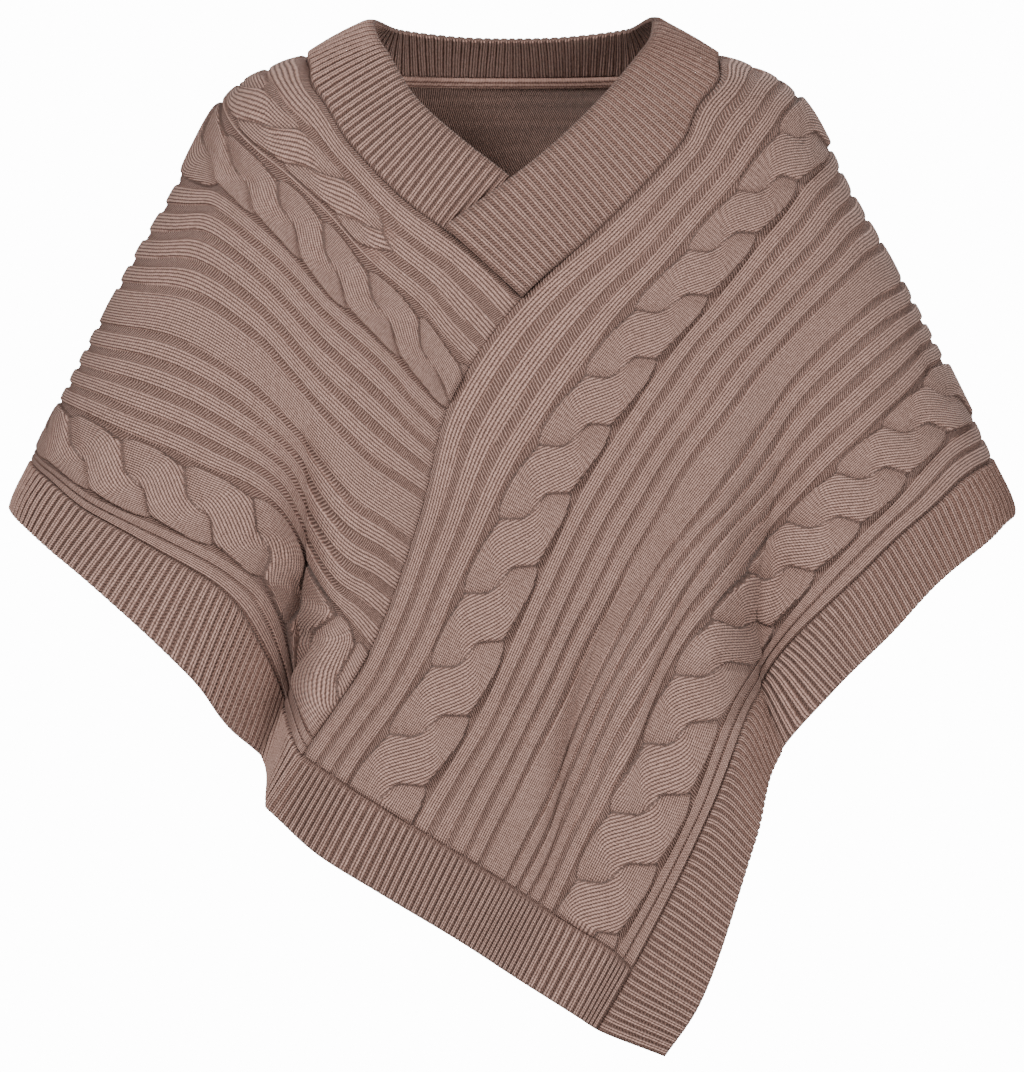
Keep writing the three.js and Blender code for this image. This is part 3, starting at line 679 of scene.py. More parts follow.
@dataclass(frozen=True)
class RopeCable:
    """A rope cable of two strands, seen as lobes that overlap one after another.

    Each lobe starts where its strand comes out from under the lobe before, on one side of the
    cable, crosses over the middle and goes under the lobe after it on the other side. The place
    along the cable is counted in crossings, and the place across it from -1 to 1. Widths, heights
    and the reaches of edges, dives and shade are in millimetres.
    """

    centre: float
    width: float
    twist: float
    height: float
    marks: tuple[float, ...]
    wales: float = 16.0
    leg: float = 4.2
    over: float = 3.0
    over_reach: float = 0.36
    middle_drop: float = 0.17
    middle_width: float = 0.11
    slant: float = 0.19
    left_slant: float = 0.19
    turn_more: float = 0.36
    turn_spread: float = 0.52
    notch: float = 0.84
    bulge: float = 0.22
    taper: float = 1.1
    round_edge: float = 4.2
    edge_left: float = 0.3
    dive: float = 13.0
    dive_left: float = 0.42
    free_turn: float = 0.12
    strand_reach: float = 0.4
    halvings: int = 14
    look_reach: float = 0.3
    looks: int = 13
    # Painted shade along the creases between lobes, where a strand goes under the next lobe, and along
    # the cable's sides.
    crease_wide: float = 0.9
    under_shade: float = 0.5
    under_reach: float = 3.0

    def crease(self, offset: Array, slant: Array) -> Array:
        """Where the crease between two lobes lies, in crossings, by place across."""
        drop = self.middle_drop * np.tanh(offset / self.middle_width)
        return 0.5 - drop - slant * offset

    def strand_place(self, offset: Array, passed: Array, slant: Array) -> Array:
        """Place across the strand, from 0 to 1, of points in a lobe.

        Each wale runs down one side of the cable, swings over to the other side and runs on
        there, and the wales swing one after another. The place is found by halving.

        Args:
            offset: places across the cable, from -1 to 1.
            passed: the part of the lobe's crossing passed.
            slant: how far the creases lean along the cable.

        Returns:
            Places across the strand.
        """
        length = self.middle_drop + slant + self.turn_more
        low = np.full(offset.shape, -self.strand_reach)
        high = np.full(offset.shape, 1 + self.strand_reach)
        for _ in range(self.halvings):
            guess = (low + high) / 2
            swing = (passed - 1 - self.turn_spread * (guess - 0.5)) / length
            short = guess - ramp(-0.5, 0.5, swing) < offset
            low, high = np.where(short, guess, low), np.where(short, high, guess)
        return (low + high) / 2

    def crease_distance(
        self, offset: Array, count: Array, pitch: Array, slant: Array
    ) -> tuple[Array, Array]:
        """How far points are from the creases of their lobe.

        Args:
            offset: places across the cable, from -1 to 1.
            count: crossings passed.
            pitch: length of a crossing in millimetres.
            slant: how far the creases lean along the cable.

        Returns:
            Distances to the crease above and to the one below, in millimetres.
        """
        lobe = np.floor(count - self.crease(offset, slant))
        above, below = np.full(offset.shape, FAR), np.full(offset.shape, FAR)
        for step in np.linspace(-self.look_reach, self.look_reach, self.looks):
            across = step * self.width / 2
            along = count - self.crease(offset + step, slant) - lobe
            above = np.minimum(above, np.hypot(across, np.maximum(along, 0) * pitch))
            below = np.minimum(below, np.hypot(across, np.maximum(1 - along, 0) * pitch))
        return above, below

    def side_limit(self, offset: Array, share: Array) -> Array:
        """How far across a lobe reaches, by its share from crease to crease."""
        late = np.where(offset < 0, share**1.5, 1 - (1 - share) ** 1.5)
        return self.notch + self.bulge * np.sin(np.pi * late) ** 0.6

    def lobes(
        self, offset: Array, count: Array, pitch: Array, slant: Array, share: Array
    ) -> tuple[Array, ...]:
        """The cable's surface.

        Args:
            offset: places across the cable, from -1 to 1.
            count: crossings passed.
            pitch: length of a crossing in millimetres.
            slant: how far the creases lean along the cable.
            share: how wide the cable is, as a share of its full width.

        Returns:
            Height, wale, painted shade, the part of the lobe's crossing passed, and how far inside
            the cable's outline each point lies, in millimetres.
        """
        lobe = np.floor(count - self.crease(offset, slant))
        part = count - self.crease(offset, slant) - lobe
        passed = count - lobe
        top, bottom = self.crease_distance(offset, count, pitch, slant)
        limit = self.side_limit(offset, part) - np.abs(offset) - self.taper * (1 - share)
        side = limit * self.width / 2
        free_top = ramp(self.free_turn, -self.free_turn, offset)
        height = self.leg + self.over * bell(passed - 1, self.over_reach)
        height = height * (free_top * self.rounded(top) + (1 - free_top) * self.diving(top))
        height = height * ((1 - free_top) * self.rounded(bottom) + free_top * self.diving(bottom))
        height = self.height * height * self.rounded(side * 1.1) * ramp(0, 0.4, share)
        # Painted shade: dark along the creases, where a strand goes under the next lobe, and along the
        # cable's sides.
        near = np.minimum(top, bottom)
        under = free_top * bottom + (1 - free_top) * top
        tucked = self.under_shade * np.maximum(np.exp(-under / self.under_reach), bell(side, 1.0))
        shade = np.maximum(bell(near, self.crease_wide), tucked)
        wale = self.strand_place(offset, passed, slant) * self.wales
        return height, wale, shade, passed, side

    def rounded(self, away: Array) -> Array:
        """Height of a strand's rounded edge, as a share, by distance in from it."""
        inward = 1 - np.clip(away / self.round_edge, 0, 1)
        return self.edge_left + (1 - self.edge_left) * np.sqrt(1 - inward**2.4)

    def diving(self, away: Array) -> Array:
        """Height of a strand that goes under another, as a share, by distance from there."""
        return self.dive_left + (1 - self.dive_left) * ramp(0, self.dive, away)


@dataclass(frozen=True)
class Wander:
    """Where the ribs wander most: a spot on the strip, its reach, and how far they go there."""

    along: float = 1330.0
    across: float = 235.0
    reach_along: float = 120.0
    reach_across: float = 62.0
    most: float = 1.7


@dataclass
class StripKnit:
    """The knitting of the strip: flat ribs in a purl ground, and rope cables along it.

    Sizes are in millimetres. Shades are painted shade, as shares of the way to the yarn's darkest tone.
    """

    strip: Strip
    wall: float = 2.4
    rib_raise: float = 2.3
    rib_width: float = 11.5
    flank: float = 0.5
    outer_flank: float = 1.1
    floor: float = 0.2
    wale: float = 2.1
    course: float = 2.1
    row_lean: float = 0.4
    # Painted shade in the gutters between the ribs, and on the purl ground round the cables.
    gutter_shade: float = 0.42
    ground_shade: float = 0.5
    wander: Wander = Wander()
    crown: float = 0.16
    purl_below: tuple[float, float] = (0.12, 0.4)
    gutter_top: float = 0.6
    # On the inside: how far the gutters stand out as ridges, and the painted shade on the ribs between
    # them and along their flanks.
    back_ridge: float = 0.8
    back_shade: float = 0.25
    back_flank_shade: float = 1.8
    # Painted shade in the front's deep folds: the fold depth where it starts, the depth over which it
    # grows, and its most.
    hollow_start: float = 12.0
    hollow_span: float = 44.0
    hollow_shade: float = 0.6
    flatter: float = 0.42
    flatter_reach: float = 38.0
    left_slant_ends: tuple[float, float] = (30.0, -20.0)
    cable_reach: float = 1.15
    lean_reach: float = 0.3
    edge: float = 1.8
    thin_edge: float = 0.3
    rib_starts: tuple[float, ...] = (
        4, 22.4, 40.8, 113, 131.4, 149.8, 168.2, 219.5, 238, 256.4, 274.8, 347, 362.5,
    )
    wide_rib: tuple[float, float] = (186.0, 213.0)
    small_start: int = 3
    small_fade: tuple[float, float, float] = (-15.0, 20.0, 26.0)
    count_every: int = 20
    upper: RopeCable = RopeCable(82.5, 51, 1, 1, (-0.05, 6.03, 15.95, 23.44, 26.66), left_slant=0.5)
    lower: RopeCable = RopeCable(316.5, 51, 1, 1, (0.46, 7.7, 22.94, 29.86, 33.37), left_slant=0.28)
    small: RopeCable = RopeCable(
        34, 28, -1, 0.8, (-1.7, 3.7, 13.5, 19, 23.5), wales=8, left_slant=0.42, over=1.6,
        middle_drop=0.08, middle_width=0.3, round_edge=3.4,
    )

    def __post_init__(self) -> None:
        """Works out where ribs and wales lie, and how the cables turn along the strip."""
        self.ribs = sorted(
            [(start, start + self.rib_width) for start in self.rib_starts] + [self.wide_rib]
        )
        places, counts = [0.0], [0.0]
        for start, end in [*self.ribs, (self.strip.width, self.strip.width)]:
            for place in (start, end):
                places.append(place)
                counts.append(counts[-1] + round((place - places[-2]) / self.wale))
        self.wale_places, self.wale_counts = places, counts
        self.counts: dict[int, SmoothCurve] = {}
        self.pitches: dict[int, SmoothCurve] = {}
        for cable in (self.upper, self.lower, self.small):
            self.counts[id(cable)], self.pitches[id(cable)] = self.crossings(cable)
        start, fold = self.strip.places[self.small_start], self.strip.left_place
        before, after, left = self.small_fade
        ends = [start + before, start + after, fold - left, fold]
        self.small_share = SmoothCurve(ends, [0, 1, 1, 0])

    def crossings(self, cable: RopeCable) -> tuple[SmoothCurve, SmoothCurve]:
        """How a cable turns along the strip, even by real length between its marks.

        Args:
            cable: the cable.

        Returns:
            The crossings that it has passed, and the real length of a crossing, by place.
        """
        strip = self.strip
        marks = [0, strip.left_fold, strip.right_fold, strip.low, strip.hem]
        places, passed, middles, pitches = [0.0], [cable.marks[0]], [], []
        for i in range(1, len(marks)):
            ends = strip.places[marks[i - 1]], strip.places[marks[i]]
            stretch, lengths = strip.lengths(*ends, cable.centre)
            share = lengths / lengths[-1]
            turns = cable.marks[i] - cable.marks[i - 1]
            every = slice(self.count_every, None, self.count_every)
            places.extend(stretch[every])
            passed.extend((cable.marks[i - 1] + turns * share)[every])
            middles.append(sum(ends) / 2)
            pitches.append(lengths[-1] / turns)
        return SmoothCurve(places, passed), SmoothCurve(middles, pitches)

    def rib_height(self, across: Array) -> Array:
        """Height of the flat ribs.

        Args:
            across: distances across the strip.

        Returns:
            Shares of the ribs' full height.
        """
        height = np.zeros(across.shape)
        for start, end in self.ribs:
            rise = ramp(start - self.outer_flank, start + self.flank, across)
            rise = rise * ramp(end + self.outer_flank, end - self.flank, across)
            crown = 1 - self.crown * ((across - (start + end) / 2) / ((end - start) / 2)) ** 2
            height = np.maximum(height, rise * np.clip(crown, 0, 1))
        return height

    def near_fold(self, along: Array) -> Array:
        """How high the cables stand: they are flatter over the side folds.

        Args:
            along: places along the strip.

        Returns:
            A share of their full height for each place.
        """
        height = np.ones(len(along))
        for fold in (self.strip.left_place, self.strip.right_place):
            height -= self.flatter * bell(along - fold, self.flatter_reach)
        return height

    def waver(self, along: Array, across: Array) -> Array:
        """How far the ribs waver from their lines, as knitting by hand does.

        Args:
            along: places along the strip.
            across: distances across it.

        Returns:
            Distances across the strip on the grid, which fade out towards its edges.
        """
        u, v, spot = along[:, None], across[None, :], self.wander
        slow = 0.45 * np.sin(u / 29 + v / 13)
        quick = 0.3 * np.sin(u / 11.3 - v / 21 + 1.7)
        near = bell(u - spot.along, spot.reach_along) * bell(v - spot.across, spot.reach_across)
        pulled = spot.most * near * (np.sin(u / 22 + v / 15) + 0.5 * np.sin(u / 13 - v / 24))
        width = self.strip.width
        return (slow + quick + pulled) * ramp(0, 12, across) * ramp(width, width - 9, across)

    def wall_edge(self, along: Array, across: Array, ends: tuple[float, float]) -> Array:
        """How full the wall is: it thins and rounds off towards its open edges.

        Args:
            along: places along the strip.
            across: distances across it.
            ends: the places of the open ends, infinitely far away where the piece has none.

        Returns:
            A share from 0 to 1 on the grid.
        """
        side = np.minimum(ramp(0, self.edge, across), ramp(0, self.edge, self.strip.width - across))
        end = ramp(0, 2 * self.edge, np.minimum(along - ends[0], ends[1] - along))
        return self.thin_edge + (1 - self.thin_edge) * np.minimum(side[None, :], end[:, None])

    def outside(self, along: Array, across: Array) -> Stitches:
        """The outside of the knitting.

        Args:
            along: places along the strip.
            across: distances across it.

        Returns:
            Stitches on the grid.
        """
        flat = np.zeros((len(along), len(across)))
        rib = self.rib_height(across[None, :] + self.waver(along, across))
        wale = np.interp(across, self.wale_places, self.wale_counts)
        stitches = Stitches(
            lift=flat + self.rib_raise * rib - self.floor * (1 - rib),
            wale=flat + wale,
            course=flat + along[:, None] / self.course,
            purl=flat + 1 - ramp(*self.purl_below, rib),
            # Painted shade down in the gutters.
            shade=flat + self.gutter_shade * ramp(self.gutter_top, 0.0, rib),
        )
        whole = np.ones(len(along))
        small = np.where(along < self.strip.left_place, self.small_share(along), 0.0)
        for cable, share in ((self.upper, whole), (self.lower, whole), (self.small, small)):
            if share.max() > 0:
                self.lay_cable(cable, stitches, along, across, share)
        return stitches

    def lay_cable(
        self, cable: RopeCable, stitches: Stitches, along: Array, across: Array, share: Array
    ) -> None:
        """Lays a rope cable over the ground, in place.

        Args:
            cable: the cable.
            stitches: the ground's stitches, which change.
            along: places along the strip.
            across: distances across it.
            share: how much of the cable stands at each place along.
        """
        offset = cable.twist * (across - cable.centre) / (cable.width / 2)
        near = np.abs(offset) < self.cable_reach
        if not near.any():
            return
        count = self.counts[id(cable)](along)
        pitch = self.pitches[id(cable)](along)
        grid = np.broadcast_to(offset[near], (len(along), near.sum()))
        on_left = ramp(*(self.strip.left_place + end for end in self.left_slant_ends), along)
        slant = cable.slant + (cable.left_slant - cable.slant) * on_left
        stands = share[:, None]
        height, wale, shade, passed, side = cable.lobes(
            grid, count[:, None], pitch[:, None], slant[:, None], stands
        )
        on = (side > 0) & (stands > 0)
        lean = self.row_lean * bell(passed - 1, self.lean_reach) * grid * cable.width / 2
        course = (along[:, None] - lean) / self.course
        lift = height * self.near_fold(along)[:, None]
        # On the cable: its lift, painted shade and knit stitches; round it the purl ground sinks and
        # takes its painted shade.
        for values, inside, ground in (
            (stitches.lift, lift, -self.floor),
            (stitches.shade, shade, self.ground_shade),
            (stitches.purl, 0.0, 1.0),
        ):
            under = values[:, near] + (ground - values[:, near]) * stands
            values[:, near] = np.where(on, inside, under)
        for values, inside in ((stitches.wale, wale), (stitches.course, course)):
            values[:, near] = np.where(on, inside, values[:, near])

    def paint_fold_shade(self, stitches: Stitches, points: Array) -> None:
        """Paints shade into the yarn's colour, a little, down in the front's deep folds.

        Args:
            stitches: the stitches, which change.
            points: where they are.
        """
        deep = self.strip.form.fold_depth(Side.FRONT, points[..., 0], points[..., 2])
        share = np.clip((deep - self.hollow_start) / self.hollow_span, 0, 1)
        stitches.shade += self.hollow_shade * np.where(points[..., 1] < 0, share, 0.0)

    def inside(self, along: Array, across: Array) -> Stitches:
        """The inside of the knitting, where the gutters stand out as low ridges.

        Args:
            along: places along the strip.
            across: distances across it.

        Returns:
            Stitches on the grid, flat at its first and last column.
        """
        flat = np.zeros((len(along), len(across)))
        rib = self.rib_height(across)
        lift = flat - self.back_ridge * (1 - rib)
        lift[:, [0, -1]] = 0
        return Stitches(
            lift=lift,
            wale=flat + np.interp(across, self.wale_places, self.wale_counts),
            course=flat + along[:, None] / self.course,
            purl=flat + 1.0,
            # Painted shade on the recessed ribs and along their flanks.
            shade=flat + self.back_shade * rib + self.back_flank_shade * rib * (1 - rib),
        )


@dataclass(frozen=True)
class Ribbing:
    """One by one ribbing: ribs two wales wide, with one purl wale between them.

    Widths within a rib are in units of the pitch.
    """

    pitch: float = 6.5
    raised: float = 2.8
    wall: float = 2.4
    course: float = 2.1
    wales: int = 3
    middle: float = 1 / 3
    flank: tuple[float, float] = (0.43, 0.25)
    groove: float = 0.12
    groove_wide: float = 0.06
    purl_below: tuple[float, float] = (0.3, 0.6)
    back_raised: float = 1.4
    # Painted shade between the ribs on the inside.
    back_shade: float = 0.1
    columns: tuple[float, ...] = (0.0, 0.09, 0.2, 0.33, 0.47, 0.58, 0.67, 0.83)

    def units(self, length: float) -> Array:
        """Places of the columns of points.

        Args:
            length: length of the ribbed piece in millimetres.

        Returns:
            Rising places in units of a rib, from 0 to a whole number of ribs.
        """
        count = max(2, round(length / self.pitch))
        steps = (np.arange(count)[:, None] + np.array(self.columns)[None, :]).ravel()
        return np.append(steps, count)

    def profile(self, units: Array) -> Array:
        """Height of the ribs.

        Args:
            units: places in units of a rib.

        Returns:
            Shares of the full height.
        """
        away = np.abs((units - self.middle + 0.5) % 1 - 0.5)
        return ramp(*self.flank, away) - self.groove * bell(away, self.groove_wide)

    def stitches(self, units: Array, rows: Array, fade: Array) -> Stitches:
        """The outside of the ribbing.

        Args:
            units: places along the band in units of a rib.
            rows: distances down the ribs in millimetres.
            fade: how full the ribs stand in each row.

        Returns:
            Stitches on the grid of units by rows.
        """
        rib = self.profile(units)[:, None]
        flat = np.zeros((len(units), len(rows)))
        return Stitches(
            lift=flat + rib * self.raised * fade[None, :],
            wale=flat + self.wales * units[:, None],
            course=flat + rows[None, :] / self.course,
            purl=flat + 1 - ramp(*self.purl_below, rib),
            # Painted shade in the grooves between the ribs, and where the ribs flatten out.
            shade=flat + 1 - rib * fade[None, :],
        )

    def back(self, units: Array, rows: Array) -> Stitches:
        """The inside of the ribbing, where what was purl stands out.

        Args:
            units: places along the band in units of a rib.
            rows: distances down the ribs in millimetres.

        Returns:
            Stitches on the grid of units by rows, flat at the first and last row.
        """
        rib = self.profile(units + 0.5)[:, None]
        flat = np.zeros((len(units), len(rows)))
        lift = flat - self.back_raised * rib
        lift[:, [0, -1]] = 0
        return Stitches(
            lift=lift,
            wale=flat + self.wales * (units[:, None] + 0.5),
            course=flat + rows[None, :] / self.course,
            purl=flat,
            shade=flat + self.back_shade * (1 - rib),
        )


# Cloth as closed shells


def stand(name: str, data: bpy.types.ID) -> bpy.types.Object:
    """Puts an object into the scene.

    Args:
        name: its name.
        data: its mesh, light or camera.

    Returns:
        The object.
    """
    made = bpy.data.objects.new(name, data)
    bpy.context.scene.collection.objects.link(made)
    return made


@dataclass
class Zone:
    """A grid of points that is part of a shell's face."""

    along: Array
    across: Array
    ids: Array

    def row(self, column: int) -> tuple[Array, Array]:
        """The places and points of one line along the zone."""
        return self.along, self.ids[:, column]


def tuck_under(points: Array, normals: Array, reach: Array | float, sink: float = 0.9) -> None:
    """Moves a grid's first line on past its edge and inwards, under the neighbour's edge.

    Args:
        points: the grid of points, which changes.
        normals: the cloth's outward directions at the first line.
        reach: how far the line goes on, in millimetres.
        sink: how far it goes inwards.
    """
    far = np.broadcast_to(reach, len(points))[:, None]
    outward = unit(points[:, 0] - points[:, 1])
    points[:, 0] += outward * far - normals * sink * np.minimum(far, 1)


class Shell:
    """Gathers zones of points and the faces between them into one closed shell of cloth."""

    fields = ("wale", "course", "purl", "shade")

    def __init__(self) -> None:
        """Starts an empty shell."""
        self.points: list[Array] = []
        self.values: dict[str, list[Array]] = {name: [] for name in self.fields}
        self.faces: list[Array] = []
        self.count = 0

    def zone(self, along: Array, across: Array, points: Array, stitches: Stitches) -> Zone:
        """Adds a grid of points with its stitches.

        Args:
            along: places of its rows.
            across: places of its columns.
            points: the grid of points in millimetres.
            stitches: the stitches on the grid.

        Returns:
            The zone.
        """
        ids = self.count + np.arange(points.shape[0] * points.shape[1])
        self.count += len(ids)
        self.points.append(points.reshape(-1, 3))
        for name in self.fields:
            self.values[name].append(getattr(stitches, name).ravel())
        return Zone(along, across, ids.reshape(points.shape[:2]))

    def fill(self, zone: Zone, inward: bool = False) -> None:
        """Fills a zone with triangles.

        Args:
            zone: the zone.
            inward: whether it faces into the cloth's inside.
        """
        a, b = zone.ids[:-1, :-1].ravel(), zone.ids[1:, :-1].ravel()
        c, d = zone.ids[1:, 1:].ravel(), zone.ids[:-1, 1:].ravel()
        faces = np.concatenate([np.stack([a, b, c], 1), np.stack([a, c, d], 1)])
        self.faces.append(faces[:, ::-1] if inward else faces)

    def join(self, near: tuple[Array, Array], far: tuple[Array, Array]) -> None:
        """Fills the gap between two lines, whatever their numbers of points.

        Args:
            near: the places and points of one line.
            far: those of the other.
        """
        (near_at, near_ids), (far_at, far_ids) = near, far
        faces = []
        i = j = 0
        while i < len(near_ids) - 1 or j < len(far_ids) - 1:
            next_near = near_at[i + 1] if i < len(near_ids) - 1 else math.inf
            next_far = far_at[j + 1] if j < len(far_ids) - 1 else math.inf
            if next_near <= next_far:
                faces.append((near_ids[i], near_ids[i + 1], far_ids[j]))
                i += 1
            else:
                faces.append((near_ids[i], far_ids[j + 1], far_ids[j]))
                j += 1
        self.faces.append(np.array(faces))

    def close(self, outside: list[Zone], inside: list[Zone]) -> None:
        """Fills the faces and closes them at all four edges.

        Args:
            outside: the zones of the cloth's outside, from its first edge to its last.
            inside: the zones of its inside, in the same order.
        """
        for zones, inward in ((outside, False), (inside, True)):
            for zone in zones:
                self.fill(zone, inward)
            for near, far in zip(zones, zones[1:]):
                pair = (near.row(-1), far.row(0))
                self.join(*(pair[::-1] if inward else pair))
        self.join(inside[0].row(0), outside[0].row(0))
        self.join(outside[-1].row(-1), inside[-1].row(-1))

        def end(zones: list[Zone], which: int) -> tuple[Array, Array]:
            """The places and points of one end line, through all zones of a face."""
            across = np.concatenate([zone.across for zone in zones])
            return across, np.concatenate([zone.ids[which] for zone in zones])

        self.join(end(outside, 0), end(inside, 0))
        self.join(end(inside, -1), end(outside, -1))

    def build(self, name: str, material: bpy.types.Material) -> bpy.types.Object:
        """Makes the shell's object, in metres, with its faces pointing out.

        Args:
            name: the object's name.
            material: its material.

        Returns:
            The object.
        """
        points = np.concatenate(self.points) * MM
        faces = np.concatenate(self.faces).astype(np.int32)
        a, b, c = (points[faces[:, k]] for k in range(3))
        if (a * np.cross(b, c)).sum() < 0:
            faces = faces[:, ::-1]
        mesh = bpy.data.meshes.new(name)
        mesh.vertices.add(len(points))
        mesh.vertices.foreach_set("co", points.ravel())
        mesh.loops.add(faces.size)
        mesh.loops.foreach_set("vertex_index", faces.ravel())
        mesh.polygons.add(len(faces))
        mesh.polygons.foreach_set("loop_start", np.arange(0, faces.size, 3, dtype=np.int32))
        mesh.update(calc_edges=True)
        mesh.validate()
        mesh.shade_smooth()
        for field, values in self.values.items():
            attribute = mesh.attributes.new(field, "FLOAT", "POINT")
            attribute.data.foreach_set("value", np.concatenate(values).astype(np.float32))
        mesh.materials.append(material)
        return stand(name, mesh)


# Finishes


class Graph:
    """Builds a material's nodes from short calls."""

    def __init__(self, material: bpy.types.Material) -> None:
        """Empties the material's node tree and keeps hold of it."""
        self.tree = material.node_tree
        self.tree.nodes.clear()

    def node(self, kind: str, feeds: dict[str, object], **settings: object) -> bpy.types.Node:
        """Adds a node.

        Args:
            kind: its type.
            feeds: what goes into its sockets, by their names.
            settings: its properties.

        Returns:
            The node.
        """
        made = self.tree.nodes.new(kind)
        for name, value in settings.items():
            setattr(made, name, value)
        for name, value in feeds.items():
            self.feed(made.inputs[name], value)
        return made

    def feed(self, socket: bpy.types.NodeSocket, value: object) -> None:
        """Links a socket to another, or gives it a value.

        Args:
            socket: the socket that takes it.
            value: an output socket, a number or a colour.
        """
        if isinstance(value, bpy.types.NodeSocket):
            self.tree.links.new(value, socket)
        else:
            socket.default_value = value

    def field(self, name: str) -> bpy.types.NodeSocket:
        """A value that the mesh carries."""
        return self.node("ShaderNodeAttribute", {}, attribute_name=name).outputs["Fac"]

    def math(self, operation: str, *inputs: object) -> bpy.types.NodeSocket:
        """A sum, product or other function.

        Args:
            operation: its name.
            inputs: one to three numbers or sockets.

        Returns:
            The result's socket.
        """
        made = self.node("ShaderNodeMath", {}, operation=operation)
        for socket, value in zip(made.inputs, inputs):
            self.feed(socket, value)
        return made.outputs[0]

    def blend(self, share: object, low: object, high: object) -> bpy.types.NodeSocket:
        """Low to high by a share, as numbers."""
        feeds = {"Factor": share, "A": low, "B": high}
        return self.node("ShaderNodeMix", feeds, data_type="FLOAT").outputs["Result"]

    def tint(self, share: object, low: object, high: object) -> bpy.types.NodeSocket:
        """Low to high by a share, as colours.

        Args:
            share: 0 for low to 1 for high.
            low: the first colour.
            high: the second colour.

        Returns:
            The colour's socket.
        """
        made = self.node("ShaderNodeMix", {}, data_type="RGBA")
        for socket, value in zip((made.inputs[0], made.inputs[6], made.inputs[7]), (share, low, high)):
            self.feed(socket, value)
        return made.outputs[2]

    def noise(self, size: float, detail: float) -> bpy.types.NodeSocket:
        """Soft noise in the object's own space.

        Args:
            size: how wide its lumps are, in millimetres.
            detail: how much finer noise is on them.

        Returns:
            The noise's socket.
        """
        place = self.node("ShaderNodeTexCoord", {}).outputs["Object"]
        feeds = {"Vector": place, "Scale": 1 / (size * MM), "Detail": detail}
        return self.node("ShaderNodeTexNoise", feeds).outputs["Fac"]


